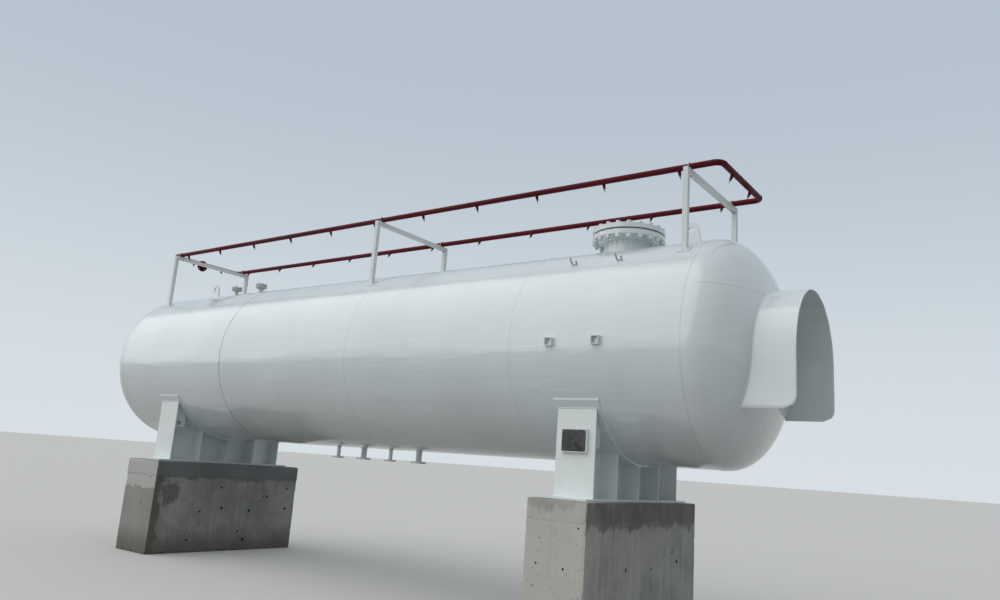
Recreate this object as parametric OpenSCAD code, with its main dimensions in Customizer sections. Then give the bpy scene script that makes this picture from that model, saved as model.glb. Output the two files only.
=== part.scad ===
// Horizontal pressure tank on two saddles and two concrete piers, with a
// gauge hood on one end and a spray ring on portals over its top.
// Millimetres. X runs along the tank to the hood end, +Y to its back, +Z up.
// The ground is at z = 0, and the origin lies midway between the two ends.

/* [Tank shell] */
// Outside diameter of the shell
tank_d = 2200; // [1800:20:2600]
// Lengths of the four rolled courses, weld to weld, from the plain end
course_len = [2440, 2410, 2330, 1780];
// Wall of the shell courses
shell_t = 14; // [8:1:30]
// Wall of the dished ends
head_t = 16; // [8:1:30]
// Straight flange of each dished end
head_skirt = 25; // [15:5:60]
// Depth of the ellipsoidal part of each dished end
head_depth = 540; // [400:10:650]

/* [Concrete piers] */
// Height of a pier with its mortar cap
pier_h = 1225; // [600:5:1800]
// Width of the left pier along the tank
pier_left_w = 750; // [560:10:1000]
// Width of the right pier along the tank
pier_right_w = 630; // [560:10:1000]
// Middle of the left pier from the middle of its saddle
pier_left_shift = 40; // [-40:5:40]
// Length of a pier across the tank
pier_len = 2410; // [2250:10:3000]
// Height of the mortar cap at the top of a pier
pier_cap_h = 190; // [60:5:300]

/* [Saddles] */
// Distance between the two saddles
saddle_span = 6740; // [5000:10:7400]
// Middle of the saddle pair, from the middle of the shell
saddle_mid = 40; // [-200:5:200]
// Height from the base plate to the lowest point of the wear plate
saddle_h = 323; // [200:1:600]
// Thickness of the base plate
base_t = 20; // [12:1:40]
// Width of the base plate along the tank
base_w = 470; // [430:5:540]
// Length of the base plate across the tank
base_len = 2180; // [1950:10:2250]
// Distance between the outer faces of the two end plates
end_span = 1838; // [1500:2:1880]
// Width of the end plates and ribs along the tank
end_w = 415; // [300:5:425]
// Thickness of the web and the end plates
web_t = 14; // [8:1:25]
// Thickness of the ribs
rib_t = 12; // [8:1:25]
// Ribs on each side of the web
rib_count = 3; // [1:1:5]
// Thickness of the wear plate
wear_t = 12; // [6:1:20]
// Width of the wear plate along the tank
wear_w = 480; // [440:5:700]
// Angle of the shell that the wear plate covers
wear_angle = 120; // [116:1:150]

/* [Plate and lugs on the saddles] */
// Width of the plate holder
plate_w = 270; // [150:5:380]
// Height of the plate holder
plate_h = 215; // [100:5:300]
// Depth of the plate holder from the end plate
plate_depth = 36; // [20:1:120]
// Height of the middle of the plate holder over the base plate
plate_up = 510; // [250:5:650]
// Thickness of the holder's sheet
holder_t = 5; // [3:1:8]
// Border of the holder that shows round the blank plate
plate_border = 8; // [5:1:30]
// Reach of a lashing lug from the back of the end plate
saddle_lug_w = 170; // [120:5:220]
// Thickness of a lashing lug
saddle_lug_t = 12; // [8:1:20]
// Middle of a lashing lug from the edge of the end plate
saddle_lug_in = 60; // [20:5:90]
// Height of a lashing lug's lower edge over the base plate
saddle_lug_up = 455; // [300:5:500]
// Bore of a lashing lug
saddle_lug_bore = 65; // [20:1:80]
// Distance of the bore's middle from the end plate
saddle_bore_in = 75; // [60:1:110]
// Height of the bore's middle over the lug's lower edge
saddle_bore_up = 55; // [45:1:70]

/* [Manway] */
// Place of the manway, from the middle of the shell
manway_x = 3404; // [3050:1:3700]
// Outside diameter of the neck
manway_neck_d = 508; // [406:1:560]
// Wall of the neck
manway_neck_t = 12; // [8:1:25]
// Outside diameter of the flange and its cover
manway_flange_d = 775; // [770:5:850]
// Thickness of the flange and of the cover
manway_flange_t = 57; // [30:0.5:80]
// Top of the flange over the top of the shell
manway_up = 182; // [120:1:400]
// Thickness of the gasket
manway_gasket_t = 7; // [2:0.5:10]
// Bolt circle
manway_pcd = 725; // [700:1:735]
// Bolt holes
manway_bolts = 20; // [16:4:24]
// Diameter of a bolt hole
manway_hole_d = 33; // [33:1:36]
// Diameter of a bolt
manway_stud_d = 30; // [24:1:32]
// Height of a bolt's head
manway_head_h = 19; // [12:1:30]
// Height of a bolt's nut
manway_nut_h = 26; // [15:1:35]
// Length of the bolt under its nut
manway_tail = 24; // [5:1:40]

/* [Flanged nozzles] */
// Places of the nozzles on top, from the middle of the shell
top_nozzle_x = [-3470, -2856];
// Height of the joint between a top nozzle and its cover over the shell
top_nozzle_up = 143; // [100:1:250]
// Places of the nozzles underneath, from the middle of the shell
low_nozzle_x = [-720, -250, 220, 690];
// Depth of the lower nozzles' joint faces under the shell
low_nozzle_down = 145; // [110:1:250]
// Clearance between a nozzle and its cover, filled by the gasket
joint_gap = 3; // [1:0.5:6]

/* [Gauge hood] */
// Outside width of the hood
hood_w = 1280; // [900:10:1500]
// Height of the middle of its round top under the tank's axis
hood_drop = 80; // [0:5:200]
// Length of its straight sides under that middle
hood_leg = 495; // [300:5:650]
// Reach of the hood past the weld of the dished end
hood_reach = 833; // [650:1:1100]
// Radius of its lower outer corners
hood_corner = 110; // [20:5:200]
// Wall of the hood
hood_t = 8; // [4:1:14]

/* [Lifting lugs] */
// Place of the lugs either side of the shell's middle
lug_x = 4076; // [3950:1:4150]
// Radius of a lug's round top
lug_r = 80; // [60:1:110]
// Diameter of the shackle hole
lug_bore = 75; // [40:1:90]
// Height of the shackle hole over the shell
lug_up = 180; // [130:1:250]
// Width of a lug at its foot
lug_foot = 214; // [180:2:260]
// Thickness of a lug
lug_t = 25; // [15:1:40]
// Length of a lug's pad along the tank
lug_pad_len = 320; // [280:5:400]
// Width of a lug's pad round the shell
lug_pad_w = 220; // [120:5:400]
// Thickness of a pad on the shell
pad_t = 10; // [6:1:16]

/* [Ladder hooks and clips] */
// Distance between the two ladder hooks
ladder_w = 500; // [400:5:580]
// Middle of the ladder, from the middle of the manway
ladder_mid = 25; // [-40:5:40]
// Angle of the hooks from the top of the shell
hook_angle = 42; // [35:1:60]
// Height of a hook's long leg over the shell
hook_h = 85; // [60:1:150]
// Height of a hook's short leg over the shell
hook_tip = 48; // [35:1:80]
// Diameter of a hook's bar
hook_d = 18; // [10:1:20]
// Middle of the bend from the ladder's rail
hook_off = 15; // [-20:1:30]
// Radius of a hook's bend
hook_bend = 26; // [20:1:40]
// Width of a clip along the tank
clip_w = 82; // [50:1:120]
// Height of a clip
clip_h = 82; // [50:1:120]
// Height of the tank's axis over the middle of a clip
clip_drop = 25; // [-60:5:60]
// Reach of a clip from the shell
clip_reach = 40; // [20:5:100]
// Wall of a clip
clip_t = 8; // [5:1:12]

/* [Spray frame] */
// Places of the three portals, from the middle of the shell
portal_x = [-4215, 240, 4325];
// Distance between the posts of a portal, middle to middle
post_span = 1320; // [900:10:1600]
// Side of the square tube
tube = 50; // [40:5:100]
// Wall of the square tube
tube_t = 4; // [2:0.5:8]
// Top of the portals over the top of the shell
portal_up = 595; // [300:5:900]
// Side of a post's foot pad
foot_pad = 110; // [90:5:160]

/* [Spray pipes] */
// Outside diameter of the spray pipe
pipe_d = 60.3; // [42:0.1:90]
// Wall of the spray pipe
pipe_t = 3.9; // [2:0.1:8]
// Gap between the pipe and the posts
pipe_gap = 20; // [12:1:60]
// Bend radius of the pipe's corners
elbow_r = 76; // [50:1:200]
// Middle of the crossing pipe at the plain end, from the middle of the shell
ring_left = -4400; // [-4700:5:-4340]
// Middle of the crossing pipe at the hood end, from the middle of the shell
ring_right = 4636; // [4450:2:4900]
// Length of the inlet from the crossing pipe to its flange face
inlet_len = 146; // [100:2:400]
// Outside diameter of the inlet's neck
inlet_d = 57; // [45:0.5:58]
// Diameter of the bar of a pipe clamp
clamp_bar = 10; // [6:1:14]

/* [Spray nozzles] */
// Nozzles on each long pipe
nozzle_count = 11; // [5:1:15]
// Distance between them
nozzle_pitch = 825; // [500:5:840]
// Middle of the row, from the middle of the shell
nozzle_mid = 90; // [-200:5:200]
// Distance between the two nozzles of a crossing pipe
nozzle_cross = 520; // [300:10:800]
// Angle of a nozzle from straight down, towards the tank
nozzle_tilt = 25; // [0:1:45]
// Length of a nozzle under the pipe
nozzle_len = 85; // [50:1:140]
// Diameter of a nozzle's socket
nozzle_d = 32; // [20:1:40]

/* [Hidden] */
$fn = 96;
// Facets of a round piece of the tank's own size
tank_fn = 256;

// Flange sizes of the small nozzles: outside diameter, thickness, bolt circle,
// hole diameter, holes, outside diameter of the neck
flange_40 = [155, 21, 114.3, 22, 4, 48.3];
flange_50 = [165, 22.4, 127, 18, 8, 60.3];
flange_65 = [190, 25.4, 149.2, 22, 8, 73];
flange_inlet = [178, 18, 139.7, 18, 4, inlet_d];
neck_t = 6;
top_flanges = [flange_40, flange_50];
low_flanges = [flange_40, flange_65, flange_40, flange_65];

tank_r = tank_d / 2;
shell_len = course_len[0] + course_len[1] + course_len[2] + course_len[3];
head_total = head_skirt + head_depth;
// The frame's origin is midway between the plain end and the hood's mouth
tank_x = (head_total - hood_reach) / 2;
shell_x0 = tank_x - shell_len / 2;
shell_x1 = tank_x + shell_len / 2;
hood_x1 = shell_x1 + hood_reach;

base_z = pier_h;
stand_z = base_z + base_t;
axis_z = stand_z + saddle_h + wear_t + tank_r;
top_z = axis_z + tank_r;
low_z = axis_z - tank_r;
wear_r = tank_r + wear_t;
saddle_left_x = tank_x + saddle_mid - saddle_span / 2;
saddle_right_x = tank_x + saddle_mid + saddle_span / 2;
end_y = end_span / 2;

manway_axis_x = tank_x + manway_x;
manway_joint_z = top_z + manway_up;
portal_top_z = top_z + portal_up;
post_y = post_span / 2;
pipe_r = pipe_d / 2;
pipe_y = post_y - tube / 2 - pipe_gap - pipe_r;
pipe_z = portal_top_z + pipe_r;
ring_x0 = tank_x + ring_left;
ring_x1 = tank_x + ring_right;
clamp_r = pipe_r + clamp_bar / 2;
clamp_leg_y = [-pipe_y - clamp_r, -pipe_y + clamp_r, pipe_y - clamp_r, pipe_y + clamp_r];
// The mouth of a cut or a bore goes this far past the face that it opens
over = 1;
head_steps = 24;

// Half width of the shell's section at a height, or its height at a half width
function chord(r, h) = sqrt(max(r * r - h * h, 0));

// A solid bar along X, with its axis on the tank's axis
module along_tank(r, x0, x1) {
    translate([x0, 0, axis_z]) rotate([0, 90, 0]) cylinder(h = x1 - x0, r = r, $fn = tank_fn);
}

// Outline of a dished end on its own axis, with its weld at zero
function dish(r, skirt, depth) = concat(
    [[0, 0], [r, 0]],
    [for (i = [0 : head_steps]) [r * cos(90 * i / head_steps), skirt + depth * sin(90 * i / head_steps)]]
);

module dished_solid(r, skirt, depth) {
    rotate_extrude() polygon(dish(r, skirt, depth));
}

module dished_end() {
    difference() {
        dished_solid(tank_r, head_skirt, head_depth);
        translate([0, 0, -over])
            dished_solid(tank_r - head_t, head_skirt + over, head_depth - head_t);
    }
}

// A flange lying on z = 0 with its bolt holes straddling the X axis
module flange(size, bore = 0) {
    difference() {
        cylinder(h = size[1], d = size[0]);
        if (bore > 0) translate([0, 0, -over]) cylinder(h = size[1] + 2 * over, d = bore);
        for (i = [0 : size[4] - 1])
            rotate([0, 0, (i + 0.5) * 360 / size[4]])
                translate([size[2] / 2, 0, -over]) cylinder(h = size[1] + 2 * over, d = size[3]);
    }
}

// A flanged neck whose joint face is on z = 0 and whose neck runs down to -len
module flanged_neck(size, len) {
    difference() {
        union() {
            translate([0, 0, -size[1]]) flange(size, size[5] - 2 * neck_t);
            translate([0, 0, -len]) cylinder(h = len - size[1] / 2, d = size[5]);
        }
        translate([0, 0, -len - over]) cylinder(h = len + 2 * over, d = size[5] - 2 * neck_t);
    }
}

module straight_pipe(len) {
    difference() {
        cylinder(h = len, r = pipe_r);
        translate([0, 0, -over]) cylinder(h = len + 2 * over, r = pipe_r - pipe_t);
    }
}

// A quarter bend round the Z axis, from the +X side to the +Y side
module elbow() {
    rotate_extrude(angle = 90) translate([elbow_r, 0]) difference() {
        circle(r = pipe_r);
        circle(r = pipe_r - pipe_t);
    }
}

// A patch of plate on the shell, centred at an angle from its top towards the front
module shell_patch(x, angle, len_x, arc_w, t) {
    arc = arc_w / tank_r * 180 / PI;
    translate([x - len_x / 2, 0, axis_z]) rotate([0, 90, 0])
        rotate([0, 0, 180 - arc / 2 + angle])
            rotate_extrude(angle = arc, $fn = tank_fn) translate([tank_r, 0]) square([t, len_x]);
}

// Concrete piers
module pier(x, w) {
    color("gray") translate([x - w / 2, -pier_len / 2, 0]) cube([w, pier_len, pier_h - pier_cap_h]);
}
module pier_left() { pier(saddle_left_x + pier_left_shift, pier_left_w); }
module pier_right() { pier(saddle_right_x, pier_right_w); }

module pier_cap(x, w) {
    color("dimgray") translate([x - w / 2, -pier_len / 2, pier_h - pier_cap_h]) cube([w, pier_len, pier_cap_h]);
}
module pier_cap_left() { pier_cap(saddle_left_x + pier_left_shift, pier_left_w); }
module pier_cap_right() { pier_cap(saddle_right_x, pier_right_w); }

// Saddles
module base_plate(x) {
    color("whitesmoke") translate([x - base_w / 2, -base_len / 2, base_z])
        cube([base_w, base_len, base_t]);
}
module base_plate_left() { base_plate(saddle_left_x); }
module base_plate_right() { base_plate(saddle_right_x); }

module saddle_web(x) {
    y = end_y - web_t;
    color("whitesmoke") difference() {
        translate([x - web_t / 2, -y, stand_z]) cube([web_t, 2 * y, axis_z - stand_z]);
        along_tank(wear_r, x - end_w, x + end_w);
    }
}
module saddle_web_left() { saddle_web(saddle_left_x); }
module saddle_web_right() { saddle_web(saddle_right_x); }

module saddle_ribs(x) {
    len = (end_w - web_t) / 2;
    pitch = end_span / (rib_count + 1);
    color("whitesmoke") difference() {
        for (side = [0, 1])
            for (i = [1 : rib_count])
                translate([x + (side == 0 ? -end_w / 2 : web_t / 2), i * pitch - end_y - rib_t / 2, stand_z])
                    cube([len, rib_t, axis_z - stand_z]);
        along_tank(wear_r, x - end_w, x + end_w);
    }
}
module saddle_ribs_left() { saddle_ribs(saddle_left_x); }
module saddle_ribs_right() { saddle_ribs(saddle_right_x); }

module end_plates(x) {
    color("whitesmoke") difference() {
        for (y = [-end_y, end_y - web_t])
            translate([x - end_w / 2, y, stand_z])
                cube([end_w, web_t, axis_z - chord(wear_r, end_y) - stand_z]);
        along_tank(wear_r, x - end_w, x + end_w);
    }
}
module end_plates_left() { end_plates(saddle_left_x); }
module end_plates_right() { end_plates(saddle_right_x); }

module wear_plate(x) {
    color("whitesmoke") translate([x - wear_w / 2, 0, axis_z]) rotate([0, 90, 0])
        rotate([0, 0, -wear_angle / 2])
            rotate_extrude(angle = wear_angle, $fn = tank_fn) translate([tank_r, 0]) square([wear_t, wear_w]);
}
module wear_plate_left() { wear_plate(saddle_left_x); }
module wear_plate_right() { wear_plate(saddle_right_x); }

// Drilled lugs behind the end plates, in the corner under the wear plate
module saddle_lugs() {
    y = end_y - web_t;
    top = axis_z - chord(wear_r, y);
    color("whitesmoke") for (x = [saddle_left_x, saddle_right_x]) difference() {
        translate([x + end_w / 2 - saddle_lug_in - saddle_lug_t / 2, 0, stand_z + saddle_lug_up])
            rotate([90, 0, 90]) linear_extrude(saddle_lug_t) for (s = [-1, 1]) difference() {
                translate([s < 0 ? -y : y - saddle_lug_w, 0])
                    square([saddle_lug_w, top - stand_z - saddle_lug_up]);
                translate([s * (y - saddle_bore_in), saddle_bore_up]) circle(d = saddle_lug_bore);
            }
        along_tank(wear_r, x, x + end_w);
    }
}

// The tray on the right saddle that carries a blank plate
module plate_holder() {
    x = saddle_right_x;
    z = stand_z + plate_up;
    color("whitesmoke") translate([x - plate_w / 2, -end_y - plate_depth, z - plate_h / 2]) {
        cube([plate_w, holder_t, plate_h]);
        for (dx = [0, plate_w - holder_t]) translate([dx, 0, 0]) cube([holder_t, plate_depth, plate_h]);
    }
}
module blank_plate() {
    x = saddle_right_x;
    z = stand_z + plate_up;
    w = plate_w - 2 * plate_border;
    h = plate_h - 2 * plate_border;
    plate_t = 2;
    color("darkslategray") translate([x - w / 2, -end_y - plate_depth - plate_t, z - h / 2])
        cube([w, plate_t, h]);
}

// Shell courses, numbered from the plain end
function course_start(i) = shell_x0 + (i > 0 ? course_len[0] : 0)
    + (i > 1 ? course_len[1] : 0) + (i > 2 ? course_len[2] : 0);

module shell_bores() {
    translate([manway_axis_x, 0, axis_z]) cylinder(h = tank_r + over, d = manway_neck_d);
    for (i = [0 : len(top_nozzle_x) - 1])
        translate([tank_x + top_nozzle_x[i], 0, axis_z]) cylinder(h = tank_r + over, d = top_flanges[i][5]);
    for (i = [0 : len(low_nozzle_x) - 1])
        translate([tank_x + low_nozzle_x[i], 0, low_z - over]) cylinder(h = tank_r, d = low_flanges[i][5]);
}

module shell_course(i) {
    x0 = course_start(i);
    color("white") difference() {
        along_tank(tank_r, x0, x0 + course_len[i]);
        along_tank(tank_r - shell_t, x0 - over, x0 + course_len[i] + over);
        shell_bores();
    }
}
module shell_course_1() { shell_course(0); }
module shell_course_2() { shell_course(1); }
module shell_course_3() { shell_course(2); }
module shell_course_4() { shell_course(3); }

module head_left() {
    color("white") translate([shell_x0, 0, axis_z]) rotate([0, -90, 0]) dished_end();
}
module head_right() {
    color("white") translate([shell_x1, 0, axis_z]) rotate([0, 90, 0]) dished_end();
}

// Gauge hood: an upturned U on the right end, open below and at its mouth
module hood_outline(inset) {
    r = hood_w / 2 - inset;
    circle(r = r);
    translate([-r, -hood_leg - (inset > 0 ? over : 0)]) square([2 * r, hood_leg + (inset > 0 ? over : 0)]);
}
module hood_side() {
    z = hood_leg + hood_w / 2;
    difference() {
        square([hood_reach, z]);
        translate([hood_reach - hood_corner, 0]) difference() {
            translate([0, -over]) square([hood_corner + over, hood_corner + over]);
            translate([0, hood_corner]) circle(r = hood_corner);
        }
    }
}
module gauge_hood() {
    z = axis_z - hood_drop;
    color("white") difference() {
        intersection() {
            translate([shell_x1, 0, z]) rotate([90, 0, 90]) linear_extrude(hood_reach) difference() {
                hood_outline(0);
                hood_outline(hood_t);
            }
            translate([shell_x1, hood_w / 2 + over, z - hood_leg]) rotate([90, 0, 0])
                linear_extrude(hood_w + 2 * over) hood_side();
        }
        translate([shell_x1, 0, axis_z]) rotate([0, 90, 0])
            dished_solid(tank_r, head_skirt, head_depth);
    }
}

// Manway
module manway_circle() {
    for (i = [0 : manway_bolts - 1])
        rotate([0, 0, (i + 0.5) * 360 / manway_bolts]) translate([manway_pcd / 2, 0, 0]) children();
}
module manway_plate() {
    difference() {
        cylinder(h = manway_flange_t, d = manway_flange_d);
        manway_circle() translate([0, 0, -over]) cylinder(h = manway_flange_t + 2 * over, d = manway_hole_d);
    }
}
module manway_neck() {
    inside_z = axis_z + chord(tank_r - shell_t, manway_neck_d / 2);
    color("white") translate([manway_axis_x, 0, 0]) difference() {
        union() {
            translate([0, 0, manway_joint_z - manway_flange_t]) manway_plate();
            translate([0, 0, inside_z]) cylinder(h = manway_joint_z - inside_z - manway_flange_t / 2, d = manway_neck_d);
        }
        translate([0, 0, inside_z - over])
            cylinder(h = manway_joint_z - inside_z + 2 * over, d = manway_neck_d - 2 * manway_neck_t);
    }
}
module manway_gasket() {
    color("dimgray") translate([manway_axis_x, 0, manway_joint_z]) difference() {
        cylinder(h = manway_gasket_t, d = manway_pcd - manway_hole_d - 10);
        translate([0, 0, -over]) cylinder(h = manway_gasket_t + 2 * over, d = manway_neck_d);
    }
}
module manway_cover() {
    color("white") translate([manway_axis_x, 0, manway_joint_z + manway_gasket_t]) manway_plate();
}
// Hexagon bolts with their heads on the cover and their nuts under the flange
module manway_studs() {
    nut_d = 1.85 * manway_stud_d;
    grip = 2 * manway_flange_t + manway_gasket_t;
    under = manway_nut_h + manway_tail;
    color("silver") translate([manway_axis_x, 0, manway_joint_z - manway_flange_t]) manway_circle() {
        translate([0, 0, -under]) cylinder(h = under + grip + manway_head_h / 2, d = manway_stud_d);
        translate([0, 0, -manway_nut_h]) cylinder(h = manway_nut_h, d = nut_d, $fn = 6);
        translate([0, 0, grip]) cylinder(h = manway_head_h, d = nut_d, $fn = 6);
    }
}

// Small flanged nozzles
module top_nozzles() {
    color("white") for (i = [0 : len(top_nozzle_x) - 1]) {
        size = top_flanges[i];
        inside_z = axis_z + chord(tank_r - shell_t, size[5] / 2);
        joint_z = top_z + top_nozzle_up;
        translate([tank_x + top_nozzle_x[i], 0, joint_z]) flanged_neck(size, joint_z - inside_z);
    }
}
module top_nozzle_covers() {
    color("silver") for (i = [0 : len(top_nozzle_x) - 1]) {
        size = top_flanges[i];
        translate([tank_x + top_nozzle_x[i], 0, top_z + top_nozzle_up]) {
            translate([0, 0, joint_gap]) flange(size);
            cylinder(h = joint_gap, d = size[2] - size[3] - 6);
        }
    }
}
module top_nozzle_studs() {
    nut_h = 13;
    tail = 4;
    color("silver") for (i = [0 : len(top_nozzle_x) - 1]) {
        size = top_flanges[i];
        stud_d = size[3] - 2;
        grip = 2 * size[1] + joint_gap;
        translate([tank_x + top_nozzle_x[i], 0, top_z + top_nozzle_up - size[1]])
            for (j = [0 : size[4] - 1]) rotate([0, 0, (j + 0.5) * 360 / size[4]]) translate([size[2] / 2, 0, 0]) {
                translate([0, 0, -nut_h - tail]) cylinder(h = grip + 2 * nut_h + 2 * tail, d = stud_d);
                for (z = [-nut_h, grip]) translate([0, 0, z]) cylinder(h = nut_h, d = 1.7 * stud_d, $fn = 6);
            }
    }
}
module bottom_nozzles() {
    color("white") for (i = [0 : len(low_nozzle_x) - 1]) {
        size = low_flanges[i];
        inside_z = axis_z - chord(tank_r - shell_t, size[5] / 2);
        joint_z = low_z - low_nozzle_down;
        translate([tank_x + low_nozzle_x[i], 0, joint_z]) rotate([180, 0, 0]) flanged_neck(size, inside_z - joint_z);
    }
}

// Lifting lugs and the pads under them
module lifting_lug(x) {
    pad_top = top_z + pad_t;
    up = lug_up - pad_t;
    color("white") translate([tank_x + x, lug_t / 2, pad_top]) rotate([90, 0, 0]) linear_extrude(lug_t)
        difference() {
            union() {
                translate([0, up]) circle(r = lug_r);
                polygon([[-lug_foot / 2, 0], [lug_foot / 2, 0], [lug_r, up], [-lug_r, up]]);
            }
            translate([0, up]) circle(d = lug_bore);
        }
}
module lifting_lug_left() { lifting_lug(saddle_mid - lug_x); }
module lifting_lug_right() { lifting_lug(saddle_mid + lug_x); }
module lug_pads() {
    color("white") for (s = [-1, 1])
        shell_patch(tank_x + saddle_mid + s * lug_x, 0, lug_pad_len, lug_pad_w, pad_t);
}

// Hooks near the top and clips at mid height that take a loose ladder
module on_ladder() {
    for (s = [-1, 1]) translate([manway_axis_x + ladder_mid + s * ladder_w / 2, 0, 0]) children();
}
// A bar bent to a J that stands square to the shell, welded on by its bend
module ladder_hooks() {
    color("whitesmoke") on_ladder() difference() {
        translate([hook_off, 0, axis_z]) rotate([hook_angle, 0, 0]) translate([0, 0, tank_r + hook_bend]) {
            rotate([90, 180, 0]) rotate_extrude(angle = 180) translate([hook_bend, 0]) circle(d = hook_d);
            translate([-hook_bend, 0, 0]) cylinder(h = hook_h - hook_bend, d = hook_d);
            translate([hook_bend, 0, 0]) cylinder(h = hook_tip - hook_bend, d = hook_d);
        }
        along_tank(tank_r, hook_off - hook_bend - hook_d, hook_off + hook_bend + hook_d);
    }
}
// A stub of square tube with its open end to the front
module ladder_clips() {
    inner_w = clip_w - 2 * clip_t;
    inner_h = clip_h - 2 * clip_t;
    color("whitesmoke") on_ladder() difference() {
        translate([-clip_w / 2, -tank_r - clip_reach, axis_z - clip_drop - clip_h / 2])
            cube([clip_w, clip_reach + clip_t, clip_h]);
        translate([-inner_w / 2, -tank_r - clip_reach - over, axis_z - clip_drop - inner_h / 2])
            cube([inner_w, clip_reach + clip_t + 2 * over, inner_h]);
        along_tank(tank_r, -clip_w, clip_w);
    }
}

// Portals of the spray frame: two posts with foot pads, and a beam between them
module square_tube(len) {
    difference() {
        translate([-tube / 2, -tube / 2, 0]) cube([tube, tube, len]);
        translate([tube_t - tube / 2, tube_t - tube / 2, tube_t])
            cube([tube - 2 * tube_t, tube - 2 * tube_t, len - 2 * tube_t]);
    }
}
module portal(i) {
    x = tank_x + portal_x[i];
    // The posts stand half their pads' thickness deep in the pads
    foot_r = tank_r + pad_t / 2;
    foot_z = axis_z + chord(foot_r, post_y + tube / 2) - tube;
    color("white") {
        difference() {
            for (s = [-1, 1]) translate([x, s * post_y, foot_z]) square_tube(portal_top_z - foot_z);
            along_tank(foot_r, x - tube, x + tube);
        }
        difference() {
            translate([x, tube / 2 - post_y, portal_top_z - tube / 2]) rotate([-90, 0, 0])
                square_tube(2 * post_y - tube);
            for (y = clamp_leg_y) translate([x, y, portal_top_z - tube - over]) cylinder(h = tube + 2 * over, d = clamp_bar + 2);
        }
        for (s = [-1, 1]) shell_patch(x, s * asin(post_y / tank_r), foot_pad, foot_pad, pad_t);
    }
}
module portal_left() { portal(0); }
module portal_middle() { portal(1); }
module portal_right() { portal(2); }

// Spray ring
module long_pipe(y) {
    x0 = ring_x0 + elbow_r;
    x1 = ring_x1 - elbow_r;
    color("firebrick") translate([x0, y, pipe_z]) rotate([0, 90, 0]) straight_pipe(x1 - x0);
}
module spray_pipe_front() { long_pipe(-pipe_y); }
module spray_pipe_rear() { long_pipe(pipe_y); }

module cross_pipe() {
    len = 2 * (pipe_y - elbow_r);
    translate([0, len / 2, 0]) rotate([90, 0, 0]) straight_pipe(len);
    translate([-elbow_r, pipe_y - elbow_r, 0]) elbow();
    translate([-elbow_r, elbow_r - pipe_y, 0]) rotate([0, 0, -90]) elbow();
}
module spray_pipe_right_end() {
    color("firebrick") translate([ring_x1, 0, pipe_z]) cross_pipe();
}
module spray_header() {
    bore = inlet_d - 2 * pipe_t;
    color("firebrick") translate([ring_x0, 0, pipe_z]) difference() {
        union() {
            rotate([0, 0, 180]) cross_pipe();
            translate([-inlet_len, 0, 0]) rotate([0, 90, 0]) difference() {
                cylinder(h = inlet_len, d = inlet_d);
                translate([0, 0, inlet_len]) rotate([90, 0, 0]) translate([0, 0, -pipe_r])
                    cylinder(h = 2 * pipe_r, r = pipe_r - pipe_t);
            }
            translate([-inlet_len, 0, 0]) rotate([0, 90, 0]) flange(flange_inlet, bore);
        }
        translate([-inlet_len - over, 0, 0]) rotate([0, 90, 0]) cylinder(h = inlet_len + over, d = bore);
    }
}

// A spray nozzle on z = 0 that points down: a socket, a hexagon and a tapered tip
module spray_nozzle() {
    socket_h = nozzle_len * 0.3;
    hex_h = nozzle_len * 0.2;
    tip_h = nozzle_len - socket_h - hex_h;
    translate([0, 0, -pipe_r - socket_h]) cylinder(h = socket_h + pipe_t, d = nozzle_d);
    translate([0, 0, -pipe_r - socket_h - hex_h]) cylinder(h = hex_h, d = nozzle_d * 0.9, $fn = 6);
    translate([0, 0, -pipe_r - nozzle_len]) cylinder(h = tip_h, d1 = nozzle_d * 0.3, d2 = nozzle_d * 0.65);
}
// Places a nozzle on a pipe, turned so that its tilt leads towards the tank
module on_pipe(x, y, turn) {
    translate([x, y, pipe_z]) rotate([0, 0, turn]) difference() {
        rotate([nozzle_tilt, 0, 0]) children();
        rotate([0, 90, 0]) translate([0, 0, -nozzle_d]) cylinder(h = 2 * nozzle_d, r = pipe_r);
    }
}
module spray_nozzles() {
    color("dimgray") {
        for (i = [0 : nozzle_count - 1]) {
            x = tank_x + nozzle_mid + (i - (nozzle_count - 1) / 2) * nozzle_pitch;
            on_pipe(x, -pipe_y, 0) spray_nozzle();
            on_pipe(x, pipe_y, 180) spray_nozzle();
        }
        for (y = [-nozzle_cross / 2, nozzle_cross / 2]) {
            on_pipe(ring_x0, y, -90) spray_nozzle();
            on_pipe(ring_x1, y, 90) spray_nozzle();
        }
    }
}

// U-bolts that hold the long pipes on the portal beams
module pipe_clamps() {
    leg = pipe_r + tube + clamp_bar;
    nut_h = clamp_bar * 0.8;
    nut_d = clamp_bar * 1.9;
    color("silver") for (px = portal_x) for (y = [-pipe_y, pipe_y])
        translate([tank_x + px, y, pipe_z]) {
            rotate([90, 0, 90]) rotate_extrude(angle = 180) translate([clamp_r, 0]) circle(d = clamp_bar);
            for (s = [-1, 1]) {
                translate([0, s * clamp_r, -leg]) cylinder(h = leg, d = clamp_bar);
                translate([0, s * clamp_r, -pipe_r - tube - nut_h]) cylinder(h = nut_h, d = nut_d, $fn = 6);
            }
        }
}

pier_left();
pier_right();
pier_cap_left();
pier_cap_right();
base_plate_left();
base_plate_right();
saddle_web_left();
saddle_web_right();
saddle_ribs_left();
saddle_ribs_right();
end_plates_left();
end_plates_right();
wear_plate_left();
wear_plate_right();
saddle_lugs();
plate_holder();
blank_plate();
shell_course_1();
shell_course_2();
shell_course_3();
shell_course_4();
head_left();
head_right();
gauge_hood();
manway_neck();
manway_gasket();
manway_cover();
manway_studs();
top_nozzles();
top_nozzle_covers();
top_nozzle_studs();
bottom_nozzles();
lifting_lug_left();
lifting_lug_right();
lug_pads();
ladder_hooks();
ladder_clips();
portal_left();
portal_middle();
portal_right();
spray_pipe_front();
spray_pipe_rear();
spray_pipe_right_end();
spray_header();
spray_nozzles();
pipe_clamps();
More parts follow.
